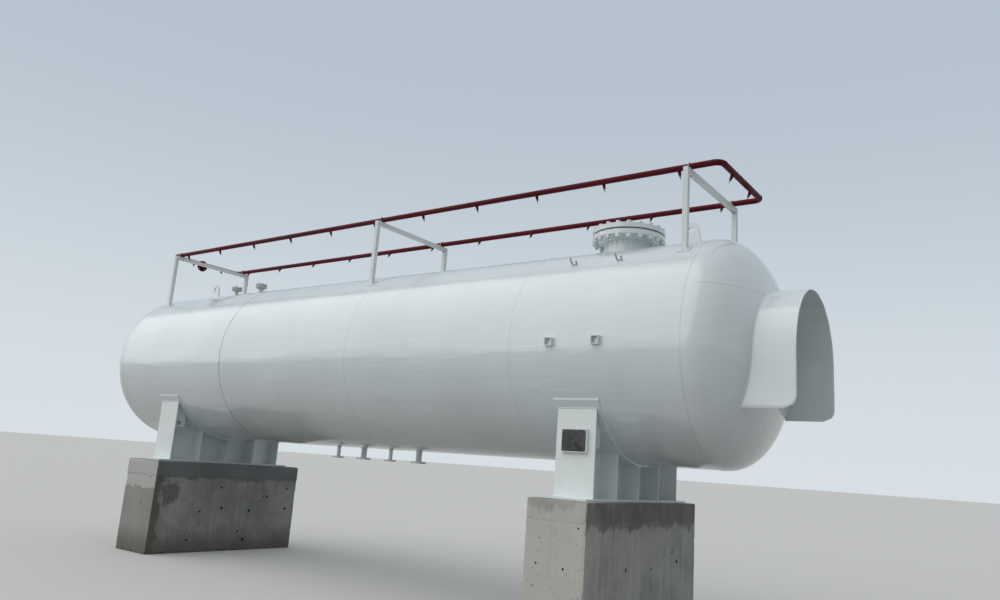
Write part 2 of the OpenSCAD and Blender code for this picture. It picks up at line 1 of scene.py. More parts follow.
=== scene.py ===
# Looks of the horizontal pressure tank: paint, welds, bolts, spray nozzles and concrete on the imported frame.
from math import asin, atan2, cos, degrees, hypot, pi, radians, sin, sqrt

import bmesh
import bpy
from mathutils import Matrix, Vector, noise


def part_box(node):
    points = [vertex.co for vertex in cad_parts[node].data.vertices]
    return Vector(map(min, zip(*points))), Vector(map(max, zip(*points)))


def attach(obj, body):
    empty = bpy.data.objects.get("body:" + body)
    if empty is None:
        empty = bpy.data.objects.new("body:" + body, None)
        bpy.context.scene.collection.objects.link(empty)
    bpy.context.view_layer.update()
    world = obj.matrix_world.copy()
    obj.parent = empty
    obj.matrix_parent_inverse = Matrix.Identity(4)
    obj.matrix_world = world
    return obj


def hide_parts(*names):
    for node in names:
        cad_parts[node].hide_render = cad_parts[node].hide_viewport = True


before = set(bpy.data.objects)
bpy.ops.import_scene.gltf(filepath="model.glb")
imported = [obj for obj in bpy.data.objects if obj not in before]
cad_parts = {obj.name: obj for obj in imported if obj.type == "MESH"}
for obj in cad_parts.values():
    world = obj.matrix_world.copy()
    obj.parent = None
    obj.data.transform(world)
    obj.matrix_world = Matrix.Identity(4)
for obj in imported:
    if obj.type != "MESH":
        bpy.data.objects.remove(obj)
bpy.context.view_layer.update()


# Small helpers

def newObject(name, data):
    item = bpy.data.objects.new(name, data)
    bpy.context.collection.objects.link(item)
    return item


def smooth(mesh, angle):
    mesh.shade_smooth()
    mesh.set_sharp_from_angle(angle=radians(angle))


def newPiece(name, bm, material, sharpAngle=35, recalc=True):
    if recalc:
        bmesh.ops.recalc_face_normals(bm, faces=bm.faces)
    mesh = bpy.data.meshes.new(name)
    bm.to_mesh(mesh)
    bm.free()
    smooth(mesh, sharpAngle)
    piece = newObject(name, mesh)
    mesh.materials.append(material)
    return piece


def carry(piece, slotName, *nodes):
    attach(piece, "root")
    if nodes:
        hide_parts(*nodes)


def bake(piece):
    # Turns the piece with its modifiers into a plain mesh
    graph = bpy.context.evaluated_depsgraph_get()
    mesh = bpy.data.meshes.new_from_object(piece.evaluated_get(graph))
    old = piece.data
    piece.modifiers.clear()
    piece.data = mesh
    if old.users == 0:
        bpy.data.meshes.remove(old)


def cutAway(piece, bm, material, sharpAngle):
    # Takes the closed forms in bm out of the piece
    cutter = newPiece("cutter", bm, material)
    modifier = piece.modifiers.new("cut", "BOOLEAN")
    modifier.object = cutter
    modifier.solver = "EXACT"
    bake(piece)
    bpy.data.objects.remove(cutter)
    smooth(piece.data, sharpAngle)


def roundEdges(piece, width, harden):
    rounding = piece.modifiers.new("edge", "BEVEL")
    rounding.width = width
    rounding.segments = 2
    rounding.limit_method = "ANGLE"
    rounding.angle_limit = radians(50)
    rounding.harden_normals = harden
    bake(piece)


def around(count, radius):
    # Points of a circle
    turns = [2 * pi * i / count for i in range(count)]
    return [(radius * cos(turn), radius * sin(turn)) for turn in turns]


def joinRings(bm, rings):
    # Walls between rings of as many corners, and a face over each end
    count = len(rings[0])
    for ring, after in zip(rings, rings[1:]):
        for i in range(count):
            j = (i + 1) % count
            bm.faces.new((ring[i], ring[j], after[j], after[i]))
    bm.faces.new(rings[0])
    bm.faces.new(rings[-1])


def hexagon(bm, radius, profile):
    # A hexagonal bar through (share of the radius, height) pairs
    joinRings(bm, [[bm.verts.new((share * x, share * y, z)) for x, y in around(6, radius)]
                   for share, z in profile])


def lathe(bm, outline, segments, place):
    # Spins a closed outline of (radius, height) points round the local Z axis
    rings = []
    for radius, height in outline:
        if radius < 1e-6:
            rings.append([bm.verts.new(place @ Vector((0, 0, height)))])
        else:
            rings.append([bm.verts.new(place @ Vector((x, y, height))) for x, y in around(segments, radius)])
    for index, ring in enumerate(rings):
        after = rings[(index + 1) % len(rings)]
        if len(ring) == 1 and len(after) == 1:
            continue
        for i in range(segments):
            j = (i + 1) % segments
            corners = [ring[i % len(ring)], ring[j % len(ring)], after[j % len(after)], after[i % len(after)]]
            kept = []
            for corner in corners:
                if corner not in kept:
                    kept.append(corner)
            if len(kept) > 2:
                bm.faces.new(kept)


def chamfered(radius, low, high, cut):
    # Outer side of a disc or ring with its edges cut back
    return [(radius - cut, low), (radius, low + cut), (radius, high - cut), (radius - cut, high)]


def alongX(x, sign=1):
    # Puts the local Z axis on the tank's axis, with its zero at x
    return Matrix.Translation((x, 0, axisZ)) @ Matrix.Rotation(sign * pi / 2, 4, "Y")


# Sizes that come from the frame

courseNodes = ["shell_course_" + digit for digit in "1234"]
courseEnds = [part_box(courseNodes[0])[0].x] + [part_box(node)[1].x for node in courseNodes]
axisZ = sum(corner.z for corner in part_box("shell_course_3")) / 2
tankRadius = 1.1
topZ = axisZ + tankRadius
headDepth = courseEnds[0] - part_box("head_left")[0].x
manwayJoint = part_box("manway_neck")[1].z
print("frame loaded, tank axis at", round(axisZ, 4))


# Node building blocks

class Signal:
    # What a socket gives; its operators add maths nodes to the tree
    def __init__(self, tree, socket):
        self.tree = tree
        self.socket = socket

    def __add__(self, other):
        return maths("ADD", self, other)

    def __sub__(self, other):
        return maths("SUBTRACT", self, other)

    def __rsub__(self, other):
        return maths("SUBTRACT", other, self)

    def __mul__(self, other):
        return maths("MULTIPLY", self, other)

    def __abs__(self):
        return maths("ABSOLUTE", self)


class Node:
    # A node whose outputs are read by name or number
    def __init__(self, tree, inner):
        self.tree = tree
        self.inner = inner

    def __getitem__(self, key):
        return Signal(self.tree, self.inner.outputs[key])

    def feed(self, inputs):
        for key, value in inputs.items():
            if isinstance(value, Signal):
                self.tree.links.new(value.socket, self.inner.inputs[key])
            else:
                self.inner.inputs[key].default_value = value


def put(tree, kind, inputs=None, **settings):
    node = Node(tree, tree.nodes.new(kind))
    for key, value in settings.items():
        setattr(node.inner, key, value)
    node.feed(inputs or {})
    return node


def maths(operation, a, b=0.0):
    tree = a.tree if isinstance(a, Signal) else b.tree
    return put(tree, "ShaderNodeMath", {0: a, 1: b}, operation=operation)[0]


def larger(a, b):
    return maths("MAXIMUM", a, b)


def fade(value, low, high, toLow=0.0, toHigh=1.0):
    sockets = {"Value": value, "From Min": low, "From Max": high, "To Min": toLow, "To Max": toHigh}
    return put(value.tree, "ShaderNodeMapRange", sockets, interpolation_type="SMOOTHSTEP")[0]


def blend(factor, a, b):
    a, b = ((*side, 1) if isinstance(side, tuple) else side for side in (a, b))
    return put(factor.tree, "ShaderNodeMix", {0: factor, 6: a, 7: b}, data_type="RGBA")[2]


def stretched(vector, x, y, z):
    return put(vector.tree, "ShaderNodeVectorMath", {0: vector, 1: (x, y, z)}, operation="MULTIPLY")[0]


def parts(vector):
    return put(vector.tree, "ShaderNodeSeparateXYZ", {0: vector})


def cloud(vector, scale, detail=3.0, roughness=0.55, distortion=0.0):
    sockets = {"Vector": vector, "Scale": scale, "Detail": detail, "Roughness": roughness,
               "Distortion": distortion}
    return put(vector.tree, "ShaderNodeTexNoise", sockets)[0]


def newTree(name, kind, inputs, outputs):
    # Each input is given by its default number or by the type of its socket
    tree = bpy.data.node_groups.new(name, kind)
    for label, given in inputs.items():
        typed = isinstance(given, str)
        socketType = given if typed else "NodeSocketInt" if isinstance(given, int) else "NodeSocketFloat"
        socket = tree.interface.new_socket(name=label, in_out="INPUT", socket_type=socketType)
        if not typed:
            socket.default_value = given
    for label, socketType in outputs.items():
        tree.interface.new_socket(name=label, in_out="OUTPUT", socket_type=socketType)
    return tree, Node(tree, tree.nodes.new("NodeGroupInput")), Node(tree, tree.nodes.new("NodeGroupOutput"))


def newGroup(name, inputs, outputs):
    group, start, end = newTree(name, "ShaderNodeTree", dict({"Vector": "NodeSocketVector"}, **inputs),
                                {label: "NodeSocketFloat" for label in outputs})
    return group, start, end, start["Vector"]


def useGroup(vector, group, inputs):
    return put(vector.tree, "ShaderNodeGroup", dict(inputs, Vector=vector), node_tree=group)


def makePaintSkin():
    # Sprayed paint: fine orange peel, slow waves of the plate under it, and patches of duller gloss
    group, start, end, vector = newGroup(
        "Paint Skin", {"Peel": 0.25, "Wave": 1.0, "Wave Scale": 1.6}, ("Height", "Dullness", "Tone"))
    peel = cloud(vector, 190, 2) * start["Peel"]
    band = cloud(stretched(vector, 0.3, 1, 1), start["Wave Scale"], 2)
    fine = cloud(stretched(vector, 0.11, 1, 1), start["Wave Scale"] * 3.4, 3)
    wave = (band + fine * 0.9) * start["Wave"]
    patch = cloud(stretched(vector, 0.5, 1, 1), 2.6, 4, 0.6)
    end.feed({"Height": peel + wave, "Dullness": fade(patch, 0.38, 0.72),
              "Tone": fade(cloud(vector, 0.9, 3), 0.3, 0.7)})
    return group


def makeRainVeil():
    # Dust that rain has drawn down in streaks, strongest between two heights
    group, start, end, vector = newGroup(
        "Rain Veil", {"Clean Height": 3.0, "Dusty Height": 1.5, "Streak": 9.0}, ("Mask",))
    drop = fade(parts(vector)[2], start["Clean Height"], start["Dusty Height"])
    thin = cloud(stretched(vector, 1, 1, 0.09), start["Streak"], 5, 0.65)
    streaks = fade(thin, 0.45, 0.75) * fade(cloud(vector, 1.3, 3), 0.35, 0.7)
    end.feed({"Mask": streaks * drop})
    return group


def makeSpecks():
    # Scattered round specks, some of them missing, for pores, chips and spatter
    group, start, end, vector = newGroup("Specks", {"Scale": 30.0, "Size": 0.12, "Share": 0.4}, ("Mask",))
    cells = put(group, "ShaderNodeTexVoronoi", {"Vector": vector, "Scale": start["Scale"]})
    pick = put(group, "ShaderNodeSeparateColor", {0: cells["Color"]})[0]
    present = maths("LESS_THAN", pick, start["Share"])
    end.feed({"Mask": fade(cells["Distance"], start["Size"], 0.0) * present})
    return group


def makeCastGrain():
    # Cement: cloudy tone, sand grain, pores and the faint vertical marks of the form boards
    group, start, end, vector = newGroup(
        "Cast Grain", {"Board Marks": 0.5, "Pores": 0.5}, ("Tone", "Height", "Pore"))
    clouds = cloud(vector, 2.2, 7, 0.62, 0.4)
    grain = cloud(vector, 70, 4, 0.7) * 0.35
    marks = cloud(stretched(vector, 1, 1, 0.05), 22, 3, 0.6) * start["Board Marks"]
    pits = larger(*(useGroup(vector, specks, {"Scale": scale, "Size": size, "Share": start["Pores"]})[0]
                    for scale, size in ((17.0, 0.17), (46.0, 0.22))))
    end.feed({"Tone": fade(clouds + grain + marks * 0.5, 0.45, 1.15),
              "Height": grain + marks * 0.4 - pits * 1.6, "Pore": pits})
    return group


specks = makeSpecks()
paintSkin = makePaintSkin()
rainVeil = makeRainVeil()
castGrain = makeCastGrain()
print("shader groups made")


def newMaterial(name):
    material = bpy.data.materials.new(name)
    material.use_nodes = True
    tree = material.node_tree
    return material, Node(tree, tree.nodes["Principled BSDF"]), put(tree, "ShaderNodeTexCoord")["Object"]


def relieve(shader, height, distance):
    bump = put(shader.tree, "ShaderNodeBump", {"Strength": 1.0, "Distance": distance, "Height": height})
    shader.feed({"Normal": bump[0]})


def makePaint(name, look):
    material, shader, place = newMaterial(name)
    skin = useGroup(place, paintSkin, {
        "Peel": look["peel"], "Wave": look["wave"], "Wave Scale": look["waveScale"]})
    veil = useGroup(place, rainVeil, {
        "Clean Height": look["cleanHeight"], "Dusty Height": look["dustyHeight"], "Streak": look["streak"]})
    chips = useGroup(place, specks, {"Scale": look["chipScale"], "Size": 0.1, "Share": look["chipShare"]})
    dust = veil["Mask"] * look["dust"]
    tone = blend(dust, blend(skin["Tone"], look["colour"], look["shade"]), look["dustColour"])
    tone = blend(chips["Mask"], tone, look["chipColour"])
    if look["seams"]:
        # Grime in the weld seams, patchy and of its own strength in each
        patchy = fade(cloud(place, 4.0, 3), 0.3, 0.7, 0.5, 1.0)
        for seamX, strength in zip(courseEnds, look["seams"]):
            off = abs(parts(place)[0] - seamX)
            tone = blend(fade(off, 0.015, 0.006, 0.0, strength) * patchy, tone, (0.22, 0.22, 0.21))
    if look["gap"]:
        # Painted shade: a near-black colour between two heights, for the shadow in the gap between the manway
        # flanges
        low, high = look["gap"]
        level = parts(place)[2]
        gapShadeMask = fade(level, low - 0.001, low) * fade(level, high + 0.001, high)
        tone = blend(gapShadeMask, tone, (0.03, 0.03, 0.03))
    dull = skin["Dullness"] * look["dullness"] + look["roughness"]
    shader.feed({"Base Color": tone, "Roughness": dull + dust * 0.35, "IOR": look["ior"],
                 "Specular IOR Level": look["specular"], "Coat Weight": look["coat"], "Coat Roughness": 0.12})
    relieve(shader, skin["Height"], look["relief"])
    return material


tankLook = {
    "colour": (0.715, 0.78, 0.795), "shade": (0.66, 0.72, 0.735), "dustColour": (0.43, 0.41, 0.36),
    "chipColour": (0.36, 0.31, 0.26), "peel": 0.10, "wave": 4.2, "waveScale": 1.5, "relief": 0.0022,
    "roughness": 0.14, "dullness": 0.14, "coat": 0.8, "specular": 0.5, "dust": 0.2, "cleanHeight": 2.9,
    "dustyHeight": 1.45, "streak": 7.0, "chipScale": 5.0, "chipShare": 0.0, "ior": 1.6, "seams": [],
    "gap": None,
}
saddleLook = dict(
    tankLook, colour=(0.80, 0.86, 0.86), shade=(0.75, 0.80, 0.80), wave=0.5, waveScale=3.0, relief=0.0012,
    roughness=0.32, coat=0.0, ior=1.45, cleanHeight=1.75, dustyHeight=1.2, streak=26.0, chipScale=9.0,
    chipShare=0.06)
frameLook = dict(
    saddleLook, colour=(0.75, 0.81, 0.82), shade=(0.67, 0.72, 0.73), dust=0.15, cleanHeight=4.6,
    dustyHeight=3.6, streak=40.0, chipScale=14.0, chipShare=0.02, chipColour=(0.30, 0.17, 0.10))
pipeLook = dict(
    tankLook, colour=(0.105, 0.003, 0.010), shade=(0.075, 0.002, 0.008), dustColour=(0.16, 0.05, 0.05),
    chipColour=(0.06, 0.02, 0.02), wave=0.3, relief=0.0008, roughness=0.42, dullness=0.2, coat=0.0, ior=1.3,
    specular=0.3, dust=0.04, cleanHeight=4.2, dustyHeight=4.5, streak=18.0, chipScale=12.0, chipShare=0.04)
greyLook = dict(
    saddleLook, colour=(0.57, 0.57, 0.55), shade=(0.42, 0.42, 0.40), roughness=0.5, dust=0.0, chipShare=0.0)
tankPaint = makePaint("tankPaint", dict(tankLook, seams=[0.1, 0.8, 0.1, 0.06, 0.14]))
saddlePaint = makePaint("saddlePaint", saddleLook)
framePaint = makePaint("framePaint", frameLook)
pipePaint = makePaint("pipePaint", pipeLook)
# The manway paint carries a band of painted shade in the gap between its flanges
manwayPaint = makePaint("manwayPaint", dict(tankLook, gap=(manwayJoint - 0.003, manwayJoint + 0.009)))
greyPrimer = makePaint("greyPrimer", greyLook)
clipPaint = makePaint("clipPaint", dict(greyLook, colour=(0.74, 0.79, 0.79), shade=(0.62, 0.66, 0.66)))
hookPaint = makePaint("hookPaint", dict(greyLook, colour=(0.52, 0.54, 0.54), shade=(0.40, 0.41, 0.41)))


def makeMetal(name, look):
    # Bare or plated metal with turning marks, smudges and a little rust
    material, shader, place = newMaterial(name)
    smudge = cloud(place, look["smudgeScale"], 5, 0.6)
    rust = useGroup(place, specks, {"Scale": 60.0, "Size": 0.3, "Share": look["rustShare"]})["Mask"]
    tone = blend(fade(smudge, 0.35, 0.7), look["colour"], look["shade"])
    shader.feed({"Base Color": blend(rust, tone, (0.16, 0.07, 0.035)),
                 "Roughness": fade(smudge, 0.3, 0.75, look["roughness"], look["roughness"] + 0.25),
                 "Metallic": fade(rust, 0.0, 1.0, look["metallic"], 0.0)})
    relieve(shader, cloud(stretched(place, 1, 1, 6), 160, 3), 0.0004)
    return material


nozzleBronze = makeMetal("nozzleBronze", {
    "colour": (0.075, 0.062, 0.05), "shade": (0.03, 0.027, 0.025), "smudgeScale": 40, "rustShare": 0.0,
    "roughness": 0.38, "metallic": 0.7})
zincSteel = makeMetal("zincSteel", {
    "colour": (0.46, 0.46, 0.45), "shade": (0.27, 0.27, 0.26), "smudgeScale": 30, "rustShare": 0.08,
    "roughness": 0.36, "metallic": 0.9})
plateDark = makeMetal("plateDark", {
    "colour": (0.035, 0.035, 0.037), "shade": (0.085, 0.085, 0.085), "smudgeScale": 24, "rustShare": 0.0,
    "roughness": 0.42, "metallic": 0.4})


def makeGasket():
    material, shader, place = newMaterial("gasketRubber")
    grain = cloud(place, 120, 4)
    shader.feed({"Base Color": blend(grain, (0.018, 0.018, 0.02), (0.06, 0.06, 0.062)),
                 "Roughness": fade(grain, 0.2, 0.8, 0.6, 0.85)})
    relieve(shader, grain, 0.0006)
    return material


gasketRubber = makeGasket()


def makeConcrete(name, look):
    material, shader, place = newMaterial(name)
    cast = useGroup(place, castGrain, {"Board Marks": look["boardMarks"], "Pores": look["pores"]})
    spot = parts(place)
    height = spot[2]
    facing = parts(put(place.tree, "ShaderNodeNewGeometry")["Normal"])
    side, front = (fade(abs(facing[axis]), 0.6, 0.8) for axis in (0, 1))
    broad = cloud(place, 2.4, 3)
    drip = cloud(stretched(place, 1, 1, 0.22), 16, 4, 0.6) - 0.5
    line = height + (drip * look["drips"] + (broad - 0.5) * 0.22)
    tone = blend(cast["Tone"], look["dark"], look["light"])
    # Painted light: the faces towards the front, where the light falls, get a colour of their own, set apart
    # from the shaded sides
    tone = blend(front * look["frontShare"], tone, look["frontColour"])
    # A skim of mortar that was drawn down over the front
    skim = front * fade(line, look["skimFoot"], look["skimFoot"] + 0.02)
    tone = blend(skim, tone, look["skimColour"])
    # Damp under the base plate, with a foot of drips
    dampSide = side * fade(line, look["dampSide"], look["dampSide"] + 0.05)
    dampFront = front * fade(line, look["dampFront"], look["dampFront"] + 0.05)
    blotches = fade(cloud(place, 3.1, 4), 0.35, 0.62, 0.62, 1.0)
    damp = larger(dampSide, dampFront * 0.45) * look["damp"] * blotches
    tone = blend(damp, tone, look["dampColour"])
    # Earth colour that clings along the front edge and in one torn blot, and soil at the foot
    edge = spot[1] - look["edgeAt"] + (cloud(place, 6.5, 5, 0.68) - 0.5) * look["rag"]
    level = put(place.tree, "ShaderNodeCombineXYZ", {1: spot[1], 2: height})[0]
    away = put(place.tree, "ShaderNodeVectorMath", {0: level, 1: (0, look["edgeAt"] + 0.21, 0.77)},
               operation="DISTANCE")["Value"]
    blot = fade(away + (cloud(place, 3.8, 6, 0.72) - 0.5) * 0.62, 0.17, 0.13)
    cling = side * larger(fade(edge, 0.14, 0.09), blot * 0.8)
    tone = blend(cling * look["edge"], tone, look["edgeColour"])
    foot = fade(line - broad * 0.15, look["footTop"], -0.02)
    tone = blend(foot * look["foot"], tone, look["edgeColour"])
    pale = fade(cloud(stretched(place, 1, 1, 0.4), 4.3, 5, 0.6), 0.58, 0.75)
    tone = blend(pale * 0.3, tone, (0.5, 0.5, 0.47))
    # Painted shade: whatever lies under the faces is the inside of a hole; it and the pores are coloured near
    # black for the shade in them
    low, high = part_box(look["node"])
    deep = maths("MINIMUM", (high.x - low.x) / 2 - abs(spot[0] - (low.x + high.x) / 2), high.y - abs(spot[1]))
    hollow = fade(deep, 0.010, 0.016, 0.0, look["hollows"])
    tone = blend(larger(cast["Pore"] * 0.75, hollow), tone, (0.035, 0.035, 0.035))
    shader.feed({"Base Color": tone, "Roughness": fade(damp, 0.0, 1.0, 0.88, 0.62)})
    relieve(shader, cast["Height"] * fade(skim, 0.0, 1.0, 1.0, 0.35), look["relief"])
    return material


castLook = {
    "dark": (0.19, 0.195, 0.19), "light": (0.42, 0.425, 0.415), "frontColour": (0.55, 0.54, 0.50),
    "frontShare": 0.72, "boardMarks": 0.9, "pores": 0.25, "relief": 0.006, "rag": 0.36, "footTop": 0.12,
    "hollows": 0.9, "drips": 0.13, "skimFoot": 3.0, "skimColour": (0.62, 0.62, 0.60), "dampSide": 1.02,
    "dampFront": 1.14, "damp": 0.92, "dampColour": (0.075, 0.075, 0.075), "edge": 0.0, "edgeAt": -1.205,
    "edgeColour": (0.105, 0.098, 0.08), "foot": 0.5,
}
leftLook = dict(
    castLook, node="pier_left", frontColour=(0.27, 0.275, 0.25), skimColour=(0.46, 0.465, 0.45), footTop=0.32,
    skimFoot=0.845, dampSide=0.975, dampFront=3.0, damp=0.75, dampColour=(0.115, 0.11, 0.085), edge=0.8,
    boardMarks=0.5, foot=0.75)
rightLook = dict(
    castLook, node="pier_right", boardMarks=1.15, dampSide=0.965, drips=0.24, damp=0.85,
    dampColour=(0.07, 0.068, 0.06))
leftCapLook = dict(
    leftLook, dark=(0.165, 0.175, 0.18), light=(0.25, 0.26, 0.265), boardMarks=0.1, pores=0.1, relief=0.003,
    hollows=0.0, dampSide=3.0, edge=0.25, foot=0.0, frontShare=0.95)
rightCapLook = dict(rightLook, boardMarks=0.4, relief=0.003, foot=0.0, hollows=0.0)
concreteLeft = makeConcrete("concreteLeft", leftLook)
concreteRight = makeConcrete("concreteRight", rightLook)
mortarLeft = makeConcrete("mortarLeft", leftCapLook)
mortarRight = makeConcrete("mortarRight", rightCapLook)
print("materials made:", len(bpy.data.materials))


# Geometry trees

def grow(name, points, edges, tree, values, turns=None):
    # Runs a tree on loose points or lines, and keeps the result as a plain mesh
    mesh = bpy.data.meshes.new(name)
    mesh.from_pydata(points, edges, [])
    if turns:
        turn = mesh.attributes.new("turn", "FLOAT_VECTOR", "POINT")
        for index, value in enumerate(turns):
            turn.data[index].vector = value
    piece = newObject(name, mesh)
    modifier = piece.modifiers.new(name, "NODES")
    modifier.node_group = tree
    for item in tree.interface.items_tree:
        if item.item_type == "SOCKET" and item.in_out == "INPUT" and item.name in values:
            modifier[item.identifier] = values[item.name]
    bake(piece)
    smooth(piece.data, 40)
    return piece


def newGeometryTree(name, inputs):
    return newTree(name, "GeometryNodeTree", dict({"Geometry": "NodeSocketGeometry"}, **inputs),
                   {"Geometry": "NodeSocketGeometry"})


def makeBeadTree():
    # A weld bead along each line: a round run whose thickness ripples like the welder's steps
    tree, start, end = newGeometryTree("Weld Bead", {
        "Bead Radius": 0.006, "Step": 0.01, "Ripple": 0.12, "Sides": 6, "Paint": "NodeSocketMaterial"})
    line = put(tree, "GeometryNodeMeshToCurve", {0: start["Geometry"]})[0]
    evened = put(tree, "GeometryNodeResampleCurve", {"Curve": line, "Length": start["Step"]},
                 mode="LENGTH")[0]
    step = maths("SINE", put(tree, "GeometryNodeInputIndex")[0] * 2.4)
    radius = (step * start["Ripple"] + 1.0) * start["Bead Radius"]
    profile = put(tree, "GeometryNodeCurvePrimitiveCircle", {"Resolution": start["Sides"], "Radius": 1.0})[0]
    run = put(tree, "GeometryNodeCurveToMesh", {
        "Curve": evened, "Profile Curve": profile, "Scale": radius, "Fill Caps": True})[0]
    painted = put(tree, "GeometryNodeSetMaterial", {"Geometry": run, "Material": start["Paint"]})[0]
    end.feed({0: put(tree, "GeometryNodeRealizeInstances", {0: painted})[0]})
    return tree


def makeScatterTree():
    # One copy of a fastener or a nozzle on each point, turned as the point says
    tree, start, end = newGeometryTree("Fitted Copies", {
        "Copy": "NodeSocketObject", "Finish": "NodeSocketMaterial"})
    copy = put(tree, "GeometryNodeObjectInfo", {"Object": start["Copy"], "As Instance": True})["Geometry"]
    turn = put(tree, "GeometryNodeInputNamedAttribute", {"Name": "turn"}, data_type="FLOAT_VECTOR")[0]
    placed = put(tree, "GeometryNodeInstanceOnPoints", {
        "Points": start["Geometry"], "Instance": copy,
        "Rotation": put(tree, "FunctionNodeEulerToRotation", {0: turn})[0]})[0]
    whole = put(tree, "GeometryNodeRealizeInstances", {0: placed})[0]
    end.feed({0: put(tree, "GeometryNodeSetMaterial", {"Geometry": whole, "Material": start["Finish"]})[0]})
    return tree


weldBead = makeBeadTree()
fittedCopies = makeScatterTree()
print("geometry trees made")


# Shell courses and dished ends

shell = {"wall": 0.014, "segments": 224, "stations": 30, "dent": 0.0011, "headWall": 0.016, "skirt": 0.025,
         "headSteps": 44}
manway = {"x": sum(corner.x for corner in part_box("manway_cover")) / 2, "neckRadius": 0.254, "neckWall": 0.012,
          "flangeRadius": 0.3875, "flangeHeight": 0.057, "raisedFace": 0.005, "faceWidth": 0.087,
          "circle": 0.3625, "bolts": 20, "gasket": 0.007, "bolt": 0.015, "headHeight": 0.019,
          "nutHeight": 0.034, "nutRadius": 0.0278, "tail": 0.014}
flange40 = {"radius": 0.0775, "height": 0.021, "circle": 0.05715, "neck": 0.02415, "hub": 0.036,
            "bolts": 4, "stud": 0.010}
flange50 = {"radius": 0.0825, "height": 0.0224, "circle": 0.0635, "neck": 0.03015, "hub": 0.043,
            "bolts": 8, "stud": 0.008}
flange65 = {"height": 0.0254, "neck": 0.0365}
topNozzles = [(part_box("top_nozzles")[0].x + flange40["radius"], flange40),
              (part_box("top_nozzles")[1].x - flange50["radius"], flange50)]
lowFirst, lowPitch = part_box("bottom_nozzles")[0].x + flange40["radius"], 0.47
lowNozzles = [(lowFirst + i * lowPitch, flange65 if i % 2 else flange40) for i in range(4)]


def cutOpenings(piece, openings):
    bm = bmesh.new()
    for x, z, radius in openings:
        bmesh.ops.create_cone(bm, cap_ends=True, segments=64, radius1=radius, radius2=radius, depth=0.5,
                              matrix=Matrix.Translation((x, 0, z)))
    cutAway(piece, bm, tankPaint, 35)


def makeCourse(index):
    x0, x1 = courseEnds[index], courseEnds[index + 1]
    length = x1 - x0
    count = shell["stations"]
    inner = tankRadius - shell["wall"]
    bm = bmesh.new()
    lathe(bm, [(tankRadius, length * i / count) for i in range(count + 1)] + [(inner, length), (inner, 0)],
          shell["segments"], alongX(x0))
    # Slow dents between the ends of the course
    for vert in bm.verts:
        offset = vert.co - Vector((vert.co.x, 0, axisZ))
        ends = min(vert.co.x - x0, x1 - vert.co.x) / length
        if offset.length > tankRadius - shell["wall"] / 2 and ends > 1e-4:
            place = Vector((vert.co.x * 0.9, vert.co.y * 1.6, vert.co.z * 1.6 + index * 7))
            hollow = 0.5 + 0.5 * noise.noise(place)
            vert.co -= offset.normalized() * shell["dent"] * hollow * min(1, ends * 12)
    piece = newPiece("shellCourse" + str(index + 1), bm, tankPaint)
    openings = [(manway["x"], topZ, manway["neckRadius"] - 0.002)]
    openings += [(x, topZ, size["neck"] - 0.001) for x, size in topNozzles]
    openings += [(x, axisZ - tankRadius, size["neck"] - 0.001) for x, size in lowNozzles]
    own = [opening for opening in openings if x0 < opening[0] < x1]
    if own:
        cutOpenings(piece, own)
    carry(piece, "tank_paint", courseNodes[index])


def headOutline():
    steps = shell["headSteps"]
    wall, skirt = shell["headWall"], shell["skirt"]
    depth = headDepth - skirt
    outside = [(tankRadius, 0.0)]
    inside = []
    for i in range(steps + 1):
        angle = pi / 2 * i / steps
        across = 0.0 if i == steps else cos(angle)
        outside.append((tankRadius * across, skirt + depth * sin(angle)))
        inside.append(((tankRadius - wall) * across, skirt + (depth - wall) * sin(angle)))
    return outside + inside[::-1] + [(tankRadius - wall, 0.0)]


def makeHead(name, x, sign, node):
    bm = bmesh.new()
    lathe(bm, headOutline(), shell["segments"], alongX(x, sign))
    carry(newPiece(name, bm, tankPaint), "tank_paint", node)


for number in range(4):
    makeCourse(number)
makeHead("headLeft", courseEnds[0], -1, "head_left")
makeHead("headRight", courseEnds[4], 1, "head_right")
print("shell courses and heads made")


# Gauge hood, an upturned U that is scribed to the dished end

hood = {"radius": 0.64, "drop": 0.08, "leg": 0.495, "reach": 0.833, "corner": 0.11, "wall": 0.008,
        "play": 0.00001, "sunk": 0.004, "rim": 0.0018, "turnSteps": 144, "legSteps": 14, "depthSteps": 14,
        "bends": 17, "bendDepth": 0.0015}


def headFace(y, z):
    # X of the right end's surface over a point of its front view
    share = min(1.0, hypot(y, z - axisZ) / tankRadius)
    return courseEnds[4] + shell["skirt"] + (headDepth - shell["skirt"]) * sqrt(1 - share * share)


def hoodOutline(inset):
    centre = axisZ - hood["drop"]
    radius = hood["radius"] - inset
    legs = [centre - hood["leg"] * (1 - i / hood["legSteps"]) for i in range(hood["legSteps"])]
    points = [(-radius, z) for z in legs]
    for i in range(hood["turnSteps"] + 1):
        angle = pi * i / hood["turnSteps"]
        wander = noise.noise(Vector((angle * 3, 0, 0)))
        bent = radius - hood["bendDepth"] * sin(angle) * cos(angle * hood["bends"] + wander)
        points.append((-bent * cos(angle), centre + bent * sin(angle)))
    return points + [(radius, z) for z in legs[::-1]]


def hoodMouth(z):
    edge = courseEnds[4] + hood["reach"] - hood["play"]
    short = hood["corner"] - (z - (axisZ - hood["drop"] - hood["leg"]))
    if short <= 0:
        return edge
    return edge - hood["corner"] + sqrt(max(0.0, hood["corner"] ** 2 - short * short))


